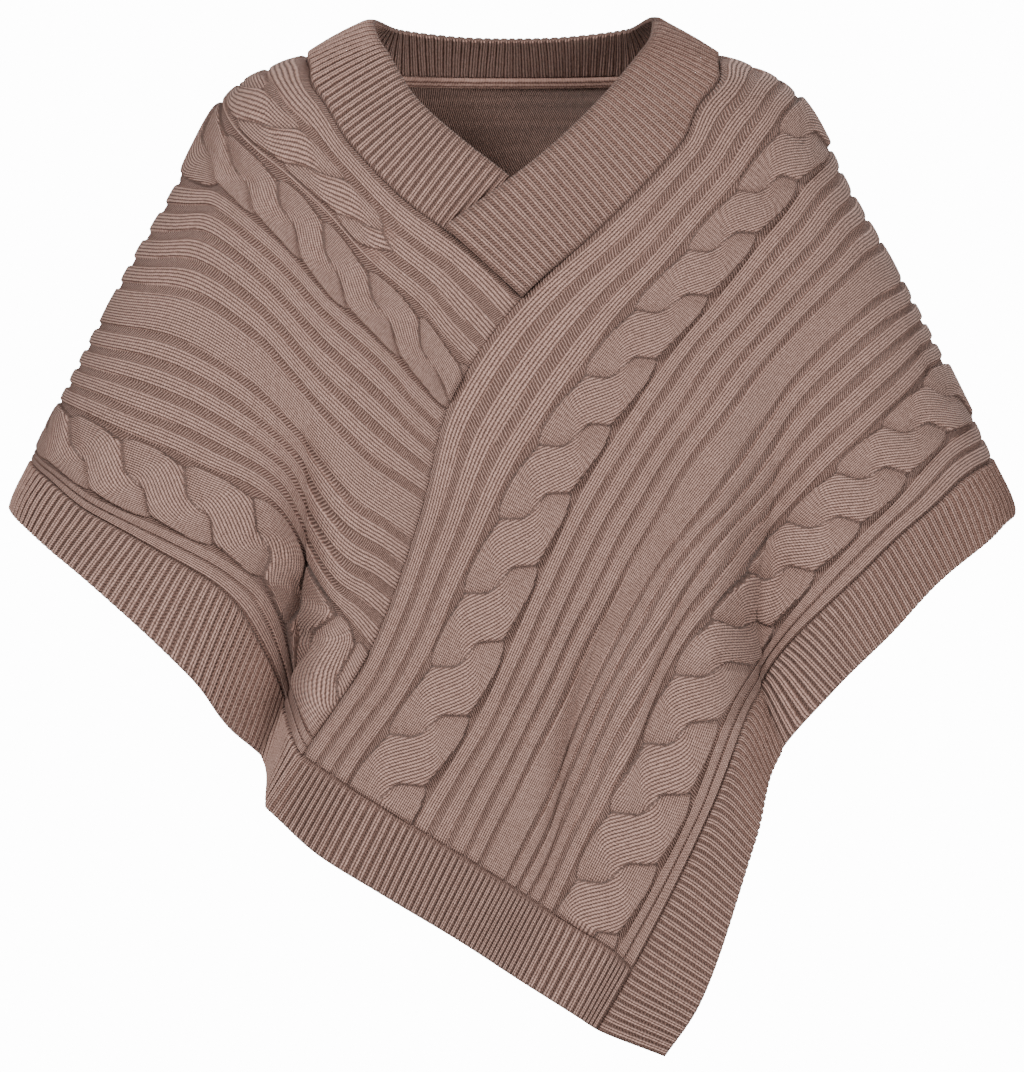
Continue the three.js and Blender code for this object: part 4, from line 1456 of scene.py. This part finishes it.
@dataclass(frozen=True)
class KnitFinish:
    """Soft heathered yarn, knitted: its colours, its stitches' relief and its nap, and the shade and
    highlight painted on its stitches.

    Sizes of noise are in millimetres, and the bump is in metres.
    """

    name: str
    # The dark colour serves the heather's dark flecks and the painted shade; the light colour is the
    # painted highlight on the stitches' tops.
    dark: Colour = (0.085, 0.042, 0.032, 1)
    yarn: Colour = (0.325, 0.178, 0.138, 1)
    light: Colour = (0.56, 0.35, 0.29, 1)
    bump: float = 0.0025
    bump_strength: float = 0.85
    roughness: float = 0.92
    specular: float = 0.25
    sheen: float = 0.15
    sheen_roughness: float = 0.55
    sheen_tint: Colour = (0.9, 0.72, 0.65, 1)
    wobble_size: float = 3.2
    wobble: float = 0.34
    leg_power: float = 2.4
    leg_slant: float = 0.8
    bead: float = 0.1
    beads_apart: float = 0.14
    bar_size: float = 4.0
    bar_lean: float = -0.62
    bar_rows: float = 0.95
    bar_height: float = 0.5
    bar_level: float = 0.55
    fibre_size: float = 0.7
    fibre: float = 0.3
    heather_size: float = 2.6
    heather: float = 0.6
    mottle_size: float = 38.0
    mottle: float = 0.22
    # How the stitches' height turns to painted shade, where their painted highlight starts and how
    # strong it is, and how dark the shade field paints.
    tone_power: float = 0.8
    painted_highlight_from: float = 0.55
    painted_highlight: float = 1.7
    painted_shade: float = 0.6

    def knit_height(self, graph: Graph) -> bpy.types.NodeSocket:
        """Height of plain stitches: two slanted legs in each wale, course by course.

        Args:
            graph: the material's nodes.

        Returns:
            The height's socket.
        """
        noise = graph.noise(self.wobble_size, 1.0)
        wobble = graph.math("MULTIPLY_ADD", noise, self.wobble, graph.field("wale"))
        off = graph.math("ABSOLUTE", graph.math("SUBTRACT", graph.math("FRACT", wobble), 0.5))
        out = graph.math("MULTIPLY", off, 2.0)
        leg = graph.math("SUBTRACT", 1.0, graph.math("POWER", out, self.leg_power))
        slant = graph.math("MULTIPLY_ADD", off, self.leg_slant, graph.field("course"))
        wave = graph.math("COSINE", graph.math("MULTIPLY", slant, 2 * math.pi))
        body = graph.math("MULTIPLY", leg, graph.math("MULTIPLY_ADD", wave, self.bead, 1 - self.bead))
        return graph.math("MULTIPLY_ADD", graph.math("MULTIPLY", out, wave), self.beads_apart, body)

    def purl_height(self, graph: Graph) -> bpy.types.NodeSocket:
        """Height of purl stitches: short bars that lean along the cloth.

        Args:
            graph: the material's nodes.

        Returns:
            The height's socket.
        """
        lean = graph.math("ADD", graph.noise(self.bar_size, 1.0), graph.field("wale"))
        rows = graph.math("MULTIPLY", graph.field("course"), self.bar_rows)
        row = graph.math("MULTIPLY_ADD", lean, self.bar_lean, rows)
        wave = graph.math("COSINE", graph.math("MULTIPLY", row, 2 * math.pi))
        return graph.math("MULTIPLY_ADD", wave, self.bar_height, self.bar_level)

    def colour(self, graph: Graph, height: bpy.types.NodeSocket) -> bpy.types.NodeSocket:
        """The yarn's colour, mottled, with painted shade between the stitches, a painted highlight on
        their tops, and the painted shade of the shade field.

        Args:
            graph: the material's nodes.
            height: the stitches' height.

        Returns:
            The colour's socket.
        """
        heather = graph.math("SUBTRACT", graph.noise(self.heather_size, 2.0), 0.5)
        # Painted shade between the stitches, by their height, over the heather's real flecks.
        toned = graph.math("MULTIPLY_ADD", heather, self.heather, height)
        tone = graph.math("POWER", graph.math("MAXIMUM", toned, 0.0), self.tone_power)
        colour = graph.tint(tone, self.dark, self.yarn)
        # Painted highlight on the stitches' tops.
        above = graph.math("MAXIMUM", graph.math("SUBTRACT", toned, self.painted_highlight_from), 0.0)
        colour = graph.tint(graph.math("MULTIPLY", above, self.painted_highlight), colour, self.light)
        # Painted shade from the shade field, with broad real mottling of the yarn's tone.
        broad = graph.math("SUBTRACT", graph.noise(self.mottle_size, 2.0), 0.5)
        painted_shade = graph.math("MULTIPLY", graph.field("shade"), self.painted_shade)
        shade = graph.math("MULTIPLY_ADD", broad, self.mottle, painted_shade)
        return graph.tint(shade, colour, self.dark)

    def material(self) -> bpy.types.Material:
        """Makes the material.

        Returns:
            The material.
        """
        made = bpy.data.materials.new(self.name)
        made.use_nodes = True
        graph = Graph(made)
        height = graph.blend(graph.field("purl"), self.knit_height(graph), self.purl_height(graph))
        relief = graph.math("MULTIPLY_ADD", graph.noise(self.fibre_size, 3.0), self.fibre, height)
        bump = graph.node("ShaderNodeBump", {
            "Strength": self.bump_strength, "Distance": self.bump, "Height": relief,
        })
        shader = graph.node("ShaderNodeBsdfPrincipled", {
            "Base Color": self.colour(graph, height),
            "Roughness": self.roughness,
            "Specular IOR Level": self.specular,
            "Sheen Weight": self.sheen,
            "Sheen Roughness": self.sheen_roughness,
            "Sheen Tint": self.sheen_tint,
            "Normal": bump.outputs["Normal"],
        })
        graph.node("ShaderNodeOutputMaterial", {"Surface": shader.outputs["BSDF"]})
        return made


# The pieces of the garment


class Held(Enum):
    """How a sheet of cloth is held."""

    DRAPED = "draped"


class Slot(Enum):
    """The finishes that a piece can have."""

    KNIT = "knit"
    RIBBING = "ribbing"
    TAPE = "tape"


@dataclass(kw_only=True)
class Piece:
    """A piece of the garment: the solid that it replaces, and its cut's width and length in metres."""

    name: str
    node: str
    flat: tuple[float, float]
    area: float | None = None
    slot: Slot = Slot.RIBBING

    def hand_over(self, shell: Shell, material: bpy.types.Material) -> None:
        """Makes the piece's object, hides the solid that it stands for, and hangs the object on the
        root body.

        Args:
            shell: the piece's shell.
            material: its material.
        """
        piece = shell.build(self.name, material)
        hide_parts(self.node)
        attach(piece, "root")
        log.info("%s: %d triangles", piece.name, len(piece.data.polygons))


# Columns across a rib, from its start, where the ribs wander
FINE_OFFSETS = (
    -3.6, -2.6, -1.7, -0.8, 0.1, 0.9, 1.8, 2.7, 4.2, 5.75, 7.3, 8.8,
    9.7, 10.6, 11.4, 12.3, 13.2, 14.1,
)


@dataclass(kw_only=True)
class KnitPanel(Piece):
    """A stretch of the strip, with its ribs and cables, as one closed shell.

    Start and end are places along the strip. The offsets are those of the columns of points across
    a rib: up to its foot they are counted from its start, over its top they stretch with its width,
    and past that they are counted from its end.
    """

    start: float
    end: float
    slot: Slot = Slot.KNIT
    open_start: bool = False
    open_end: bool = False
    small_cable: bool = False
    inside_step: float = 6.0
    inside_rows: float = 9.0
    lip: float = 3.4
    lip_rise: tuple[float, float] = (-2.0, 12.0)
    cable_column: float = 1.15
    cable_step: float = 1.35
    cable_half: float = 27.4
    rib_step: float = 4.2
    rib_foot: float = 2.0
    rib_top: float = 9.5
    clear: float = 0.4
    zone_gap: float = 0.6
    neck_line: float = 20.0
    small_span: tuple[float, float] = (16.2, 52.0)
    small_clear: tuple[float, float] = (15.4, 52.4)
    small_lines: tuple[float, float, float] = (8.0, 34.0, 53.0)
    offsets: tuple[float, ...] = (
        -3.5, -1.6, -0.6, 0.1, 0.9, 2.2, 4.0, 5.75, 7.5, 9.3, 10.6, 11.4, 12.1, 13.1,
    )

    def rib_columns(self, knit: StripKnit, low: float, high: float) -> Array:
        """Columns that follow the ribs' profile.

        Args:
            knit: the strip's knitting.
            low: distance across where the columns start.
            high: distance across where they end.

        Returns:
            Rising distances across.
        """
        columns = {low, high}
        for start, end in knit.ribs:
            stretch = (end - start) / knit.rib_width
            for offset in self.offsets:
                at = end + offset - knit.rib_width
                if offset < self.rib_foot:
                    at = start + offset
                elif offset <= self.rib_top:
                    at = start + offset * stretch
                if low + self.clear < at < high - self.clear:
                    columns.add(at)
        return np.array(sorted(columns))

    def columns(self, knit: StripKnit) -> list[tuple[Array, float, float]]:
        """The zones across the panel, from the neck edge to the lower edge.

        Args:
            knit: the strip's knitting.

        Returns:
            For each zone its columns, its step along, and the line that the steps follow.
        """
        half, apart = self.cable_half, self.cable_half + self.zone_gap
        upper, lower = knit.upper.centre, knit.lower.centre
        first = self.rib_columns(knit, 0.0, upper - apart)
        zones = [(first, self.rib_step, self.neck_line)]
        if self.small_cable:
            near, middle, far = self.small_lines
            below, above = self.small_clear
            zones = [
                (first[first < below], self.rib_step, near),
                (np.arange(*self.small_span, self.cable_column), self.cable_step, middle),
                (first[first > above], self.rib_step, far),
            ]
        ends = (upper + apart, lower - apart), (lower + apart, knit.strip.width)
        for centre, (low, high) in zip((upper, lower), ends):
            fine = np.arange(centre - half, centre + half, self.cable_column)
            zones.append((fine, self.cable_step, centre))
            zones.append((self.rib_columns(knit, low, high), self.rib_step, (low + high) / 2))
        return zones

    def outside(self, shell: Shell, knit: StripKnit) -> list[Zone]:
        """Lays the panel's outside.

        Args:
            shell: the shell that takes it.
            knit: the strip's knitting.

        Returns:
            Its zones.
        """
        start = self.start if self.open_start else -math.inf
        end = self.end if self.open_end else math.inf
        zones = []
        for across, step, line in self.columns(knit):
            along = knit.strip.by_length(self.start, self.end, line, step)
            stitches = knit.outside(along, across)
            lift = (knit.wall + stitches.lift) * knit.wall_edge(along, across, (start, end))
            points = knit.strip.lifted(along, across, lift)
            knit.paint_fold_shade(stitches, points)
            zones.append(shell.zone(along, across, points, stitches))
        return zones

    def inside(self, shell: Shell, knit: StripKnit) -> Zone:
        """Lays the panel's inside, whose neck edge goes on under the seam in front.

        Args:
            shell: the shell that takes it.
            knit: the strip's knitting.

        Returns:
            Its zone.
        """
        strip = knit.strip
        across = even_steps(0.0, strip.width, self.inside_step)
        along = strip.by_length(self.start, self.end, strip.width / 2, self.inside_rows)
        stitches = knit.inside(along, across)
        points = strip.lifted(along, across, stitches.lift)
        seam = strip.places[strip.opening_end]
        reach = self.lip * ramp(*(seam + rise for rise in self.lip_rise), along)
        tuck_under(points, strip.normals(along, across[:1])[:, 0], reach)
        return shell.zone(along, across, points, stitches)

    def build(self, knit: StripKnit, material: bpy.types.Material) -> None:
        """Makes the panel.

        Args:
            knit: the strip's knitting.
            material: the panel's material.
        """
        shell = Shell()
        shell.close(self.outside(shell, knit), [self.inside(shell, knit)])
        self.hand_over(shell, material)


@dataclass(kw_only=True)
class RibbedPiece(Piece):
    """A piece of ribbing, laid as a grid of ribs by rows."""

    ribbing: Ribbing = Ribbing()
    lip: float = 3.4
    rib_foot: float = 4.0

    def lay(
        self, units: Array, rows: Array, fade: Array, fills: tuple[float, ...],
        place: Callable[[Array], Array], way_out: Array | None, material: bpy.types.Material,
    ) -> None:
        """Lays both faces of the piece, closes them and makes the piece.

        Args:
            units: places along the piece in units of a rib.
            rows: distances down the ribs in millimetres.
            fade: how full the ribs stand in each row.
            fills: how full the wall is in each row.
            place: gives the grid of points at a grid of heights over the inside.
            way_out: the way out of the cloth along the first row, if that is tucked under.
            material: the piece's material.
        """
        shell = Shell()
        stitches = self.ribbing.stitches(units, rows, fade)
        points = place((self.ribbing.wall + stitches.lift) * np.array(fills)[None, :])
        outside = shell.zone(units, rows, points, stitches)
        back = self.ribbing.back(units, rows)
        points = place(back.lift)
        if way_out is not None:
            tuck_under(points, way_out, self.lip)
        shell.close([outside], [shell.zone(units, rows, points, back)])
        self.hand_over(shell, material)


@dataclass(kw_only=True)
class EdgeBand(RibbedPiece):
    """A stretch of the ribbed band along the strip's lower edge."""

    start: float
    end: float
    rows: tuple[float, ...] = (
        0.2, 1.0, 2.4, 4.5, 8.0, 13.0, 18.0, 23.0, 28.0, 33.0, 38.0, 42.5, 46.0, 48.3, 49.4, 50.0,
    )
    fills: tuple[float, ...] = (0.35, 0.7, 0.95, 1, 1, 1, 1, 1, 1, 1, 1, 1, 1, 0.98, 0.85, 0.45)

    def build(self, strip: Strip, material: bpy.types.Material) -> None:
        """Makes the band.

        Args:
            strip: the strip that carries it.
            material: its material.
        """
        rows = np.array(self.rows)
        across = strip.width + rows
        places, lengths = strip.lengths(self.start, self.end, strip.width)
        units = self.ribbing.units(lengths[-1])
        along = np.interp(units / units[-1] * lengths[-1], lengths, places)
        way_out = strip.normals(along, across[:1])[:, 0]
        self.lay(units, rows, ramp(0.0, self.rib_foot, rows), self.fills,
                 lambda lift: strip.lifted(along, across, lift), way_out, material)


@dataclass(kw_only=True)
class HemBand(RibbedPiece):
    """The ribbed band on the strip's free end."""

    seam: float = 0.3
    shares: tuple[float, ...] = (0, 0.03, 0.08, 0.16, 0.28, 0.42, 0.56, 0.7, 0.82, 0.91, 0.96, 0.985, 1)
    fills: tuple[float, ...] = (0.35, 0.8, 1, 1, 1, 1, 1, 1, 1, 1, 0.98, 0.85, 0.45)

    def build(self, strip: Strip, material: bpy.types.Material) -> None:
        """Makes the band.

        Args:
            strip: the strip that carries it.
            material: its material.
        """
        top = strip.places[strip.hem] + self.seam
        along = top + np.array(self.shares) * (strip.end - top)
        units = self.ribbing.units(strip.width)
        across = self.seam + units / units[-1] * (strip.width - 2 * self.seam)
        rows = along - top
        self.lay(units, rows, ramp(0.0, self.rib_foot, rows), self.fills,
                 lambda lift: strip.lifted(along, across, lift.T).transpose(1, 0, 2),
                 strip.normals(along[:1], across)[0], material)


@dataclass(kw_only=True)
class Collar(RibbedPiece):
    """The crossover collar: one ribbed strip whose right end lies over its left end."""

    strip: Strip
    rib_foot: float = 3.0
    rib_end: float = 8.0
    end_left: float = 0.3
    reach: float = 4.0
    seam: float = 0.3
    crown: float = 1.6
    middle: float = 0.3
    trim: float = 1.0
    fine_steps: int = 1200
    side_row: int = 7
    side_shift: float = 30.0
    back_shift: float = 6.0
    ups: tuple[float, ...] = (
        0, 0.015, 0.04, 0.08, 0.14, 0.22, 0.3, 0.38, 0.46, 0.54, 0.62, 0.7, 0.78, 0.86,
        0.92, 0.965, 0.99, 1,
    )
    fills: tuple[float, ...] = (0.4, 0.75, 1, 1, 1, 1, 1, 1, 1, 1, 1, 1, 1, 1, 1, 0.97, 0.8, 0.4)

    def __post_init__(self) -> None:
        """Lays smooth curves through the rows of the collar's edge."""
        places = self.strip.places[: self.strip.opening_end + 1]
        edge = np.array([[row.x, row.y, row.z] for row in COLLAR_EDGE])
        self.top = SmoothCurve(places, edge, Slopes.FREE)
        self.sink = SmoothCurve(places, [row.sink for row in COLLAR_EDGE])
        self.last = places[-1]
        behind = places[self.side_row : self.side_row + 7]
        first, left, _, middle, _, right, last = behind
        side, back = self.side_shift, self.back_shift
        spread = [first, first + side, left - back, middle, right + back, last - side, last]
        self.spread = SmoothCurve(behind, spread)

    def foot(self, along: Array) -> Array:
        """Where the collar is sewn to the strip's neck edge."""
        return self.strip.lifted(along, np.array([0.0]), -self.sink(along)[:, None])[:, 0]

    def points(self, along: Array, up: Array, lift: Array) -> Array:
        """Points of the collar.

        Args:
            along: places along the strip.
            up: how far up the collar, from 0 at its foot to 1 at its edge.
            lift: heights over the collar's inside.

        Returns:
            A grid of points.
        """
        foot = self.foot(along)
        at_back = (along > self.spread.at[0]) & (along < self.spread.at[-1])
        rise = self.top(np.where(at_back, self.spread(along), along)) - foot
        ahead = self.foot(np.minimum(along + self.reach, self.last))
        behind = self.foot(np.maximum(along - self.reach, 0.0))
        own = unit(np.cross(rise, ahead - behind))[:, None]
        body = self.strip.normals(along, np.array([0.0]))
        share = (1 - up)[None, :, None]
        normal = unit(own + (body - own) * share)
        gap = (self.seam / np.linalg.norm(rise, axis=1))[:, None, None]
        place = gap + (1 - gap) * up[None, :, None]
        return foot[:, None] + rise[:, None] * place + normal * lift[..., None]

    def build(self, material: bpy.types.Material) -> None:
        """Makes the collar, with ribs that are even along a line near its foot.

        Args:
            material: its material.
        """
        up = np.array(self.ups)
        places = np.linspace(self.trim, self.last - self.trim, self.fine_steps)
        line = self.points(places, np.array([self.middle]), np.zeros((len(places), 1)))[:, 0]
        steps = np.linalg.norm(np.diff(line, axis=0), axis=1)
        lengths = np.concatenate([[0.0], np.cumsum(steps)])
        units = self.ribbing.units(lengths[-1])
        along = np.interp(units / units[-1] * lengths[-1], lengths, places)
        rows = up * self.flat[0] / MM
        ending = ramp(rows[-1], rows[-1] - self.rib_end, rows)
        fade = ramp(0.0, self.rib_foot, rows) * (self.end_left + (1 - self.end_left) * ending)
        crown = self.crown * np.sin(np.pi * up)[None, :]
        self.lay(units, rows, fade, self.fills,
                 lambda lift: self.points(along, up, lift + crown), None, material)


@dataclass(kw_only=True)
class NeckTape(Piece):
    """The flat tape that covers the seam inside the back of the neck."""

    slot: Slot = Slot.TAPE
    near: float = 0.4
    far: float = 8.6
    thick: float = 2.0
    clear: float = 0.9
    reach: float = 0.94
    stitch: float = 3.4
    step: float = 2.0
    shade: float = 0.2
    fills: tuple[float, ...] = (0.2, 0.8, 1, 1, 0.92, 1, 1, 0.8, 0.2)

    def build(self, strip: Strip, material: bpy.types.Material) -> None:
        """Makes the tape.

        Args:
            strip: the strip that carries it.
            material: its material.
        """
        shell = Shell()
        trim = (strip.right_place - strip.left_place) * (1 - self.reach) / 2
        along = even_steps(strip.left_place + trim, strip.right_place - trim, self.step)
        across = np.linspace(self.near, self.far, len(self.fills))
        flat = np.zeros((len(along), len(across)))
        stitches = Stitches(
            lift=flat,
            wale=flat + across / self.stitch,
            course=flat + along[:, None] / self.stitch,
            purl=flat,
            shade=flat + self.shade,
        )
        faces = []
        for thick in (0.0, self.thick):
            points = strip.lifted(along, across, flat - self.clear - thick * np.array(self.fills))
            faces.append([shell.zone(along, across, points, stitches)])
        shell.close(*faces)
        self.hand_over(shell, material)


# The studio


@dataclass(frozen=True)
class Lamp:
    """A soft square light: where it hangs, its width in metres and its power in watts."""

    name: str
    place: tuple[float, float, float]
    size: float
    power: float


@dataclass
class Studio:
    """A plain pale floor, soft studio light, and the camera of the photograph."""

    floor_z: float = -0.86
    floor_radius: float = 3.0
    floor_sides: int = 96
    paper: Colour = (0.86, 0.86, 0.86, 1)
    paper_roughness: float = 0.9
    distance: float = 40.0
    view_end: float = 200.0
    aim: tuple[float, float, float] = (0.0, -0.06, -0.34986)
    frame_height: float = 0.78792
    sensor: float = 24.0
    room: float = 0.19
    backdrop: float = 14.0
    lamps: tuple[Lamp, ...] = (
        Lamp("key", (-1.7, -2.9, 1.5), 0.9, 126.0),
        Lamp("fill", (1.7, -3.3, 0.2), 1.4, 98.0),
        Lamp("back", (0.8, 2.8, 2.0), 1.4, 110.0),
    )

    def camera(self) -> None:
        """Places the camera straight in front, with a long lens."""
        data = bpy.data.cameras.new("camera")
        data.sensor_fit = "VERTICAL"
        data.sensor_height = self.sensor
        data.lens = self.sensor * self.distance / self.frame_height
        data.clip_end = self.view_end
        camera = stand("camera", data)
        camera.location = (self.aim[0], self.aim[1] - self.distance, self.aim[2])
        camera.rotation_euler = (math.pi / 2, 0.0, 0.0)
        bpy.context.scene.camera = camera

    def light(self, lamp: Lamp) -> None:
        """Hangs a lamp, turned to the garment.

        Args:
            lamp: the lamp.
        """
        data = bpy.data.lights.new(lamp.name, "AREA")
        data.shape = "SQUARE"
        data.size = lamp.size
        data.energy = lamp.power
        x, y, z = np.array(self.aim) - np.array(lamp.place)
        made = stand(lamp.name, data)
        made.location = lamp.place
        made.rotation_euler = (math.atan2(math.hypot(x, y), -z), 0.0, math.atan2(y, x) - math.pi / 2)

    def floor(self) -> None:
        """Lays a round pale floor below the garment."""
        ring = []
        for turn in np.linspace(0, 2 * math.pi, self.floor_sides, endpoint=False):
            x, y = math.cos(turn), math.sin(turn)
            ring.append((self.floor_radius * x, self.floor_radius * y, self.floor_z))
        mesh = bpy.data.meshes.new("floor")
        mesh.from_pydata(ring, [], [list(range(len(ring)))])
        paper = bpy.data.materials.new("pale_floor")
        paper.use_nodes = True
        shader = paper.node_tree.nodes["Principled BSDF"]
        shader.inputs["Base Color"].default_value = self.paper
        shader.inputs["Roughness"].default_value = self.paper_roughness
        mesh.materials.append(paper)
        stand("floor", mesh)

    def surround(self) -> None:
        """An even white surround: soft light on the garment, and a brighter white behind it."""
        world = bpy.data.worlds.new("white_room")
        world.use_nodes = True
        tree = world.node_tree
        room, output = tree.nodes["Background"], tree.nodes["World Output"]
        backdrop = tree.nodes.new("ShaderNodeBackground")
        for shader, strength in ((room, self.room), (backdrop, self.backdrop)):
            shader.inputs["Color"].default_value = (1, 1, 1, 1)
            shader.inputs["Strength"].default_value = strength
        path = tree.nodes.new("ShaderNodeLightPath")
        mix = tree.nodes.new("ShaderNodeMixShader")
        tree.links.new(path.outputs["Is Camera Ray"], mix.inputs["Fac"])
        tree.links.new(room.outputs["Background"], mix.inputs[1])
        tree.links.new(backdrop.outputs["Background"], mix.inputs[2])
        tree.links.new(mix.outputs["Shader"], output.inputs["Surface"])
        bpy.context.scene.world = world

    def build(self) -> None:
        """Sets the stage."""
        self.surround()
        self.floor()
        for lamp in self.lamps:
            self.light(lamp)
        self.camera()


def panels(strip: Strip) -> list[KnitPanel]:
    """The three stretches of the strip.

    Args:
        strip: the strip.

    Returns:
        The panels, from the diagonal seam to the hem.
    """
    hem = strip.places[strip.hem]
    return [
        KnitPanel(name="left_front_knit", node="left_front_panel", flat=(0.375, 0.34),
                  start=DIAGONAL_GAP, end=strip.left_place, open_start=True, small_cable=True),
        KnitPanel(name="back_knit", node="back_panel", flat=(0.375, 0.7),
                  start=strip.left_place, end=strip.right_place, inside_step=3.1),
        KnitPanel(name="right_front_knit", node="right_front_panel", flat=(0.375, 0.62),
                  start=strip.right_place, end=hem + SEAM_GAP, open_end=True, offsets=FINE_OFFSETS),
    ]


def bands(strip: Strip) -> list[EdgeBand | HemBand]:
    """The ribbed bands.

    Args:
        strip: the strip.

    Returns:
        The lower edge's three stretches, and the hem's band.
    """
    return [
        EdgeBand(name="left_edge_ribbing", node="left_edge_band", flat=(0.05, 0.38),
                 start=SEAM_GAP, end=strip.left_place),
        EdgeBand(name="back_edge_ribbing", node="back_edge_band", flat=(0.05, 0.87),
                 start=strip.left_place, end=strip.right_place),
        EdgeBand(name="right_edge_ribbing", node="right_edge_band", flat=(0.05, 0.56),
                 start=strip.right_place, end=strip.end),
        HemBand(name="hem_ribbing", node="hem_band", flat=(0.05, 0.375)),
    ]


def main() -> None:
    """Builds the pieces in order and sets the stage."""
    logging.basicConfig(level=logging.INFO, format="%(message)s")
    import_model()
    strip = Strip(BodyForm(FORM, FOLDS + CREASES))
    knit = StripKnit(strip)
    cloth = KnitFinish("mauve_knit").material()
    ribbed = KnitFinish("mauve_ribbing", painted_shade=0.65).material()
    taped = KnitFinish("mauve_tape", bump=0.0006).material()
    for panel in panels(strip):
        panel.build(knit, cloth)
    for band in bands(strip):
        band.build(strip, ribbed)
    Collar(name="collar_ribbing", node="collar", flat=(0.066, 0.95), strip=strip).build(ribbed)
    NeckTape(name="neck_tape_knit", node="neck_tape", flat=(0.012, 0.42),
             area=0.0049).build(strip, taped)
    Studio().build()


if __name__ == "__main__":
    main()
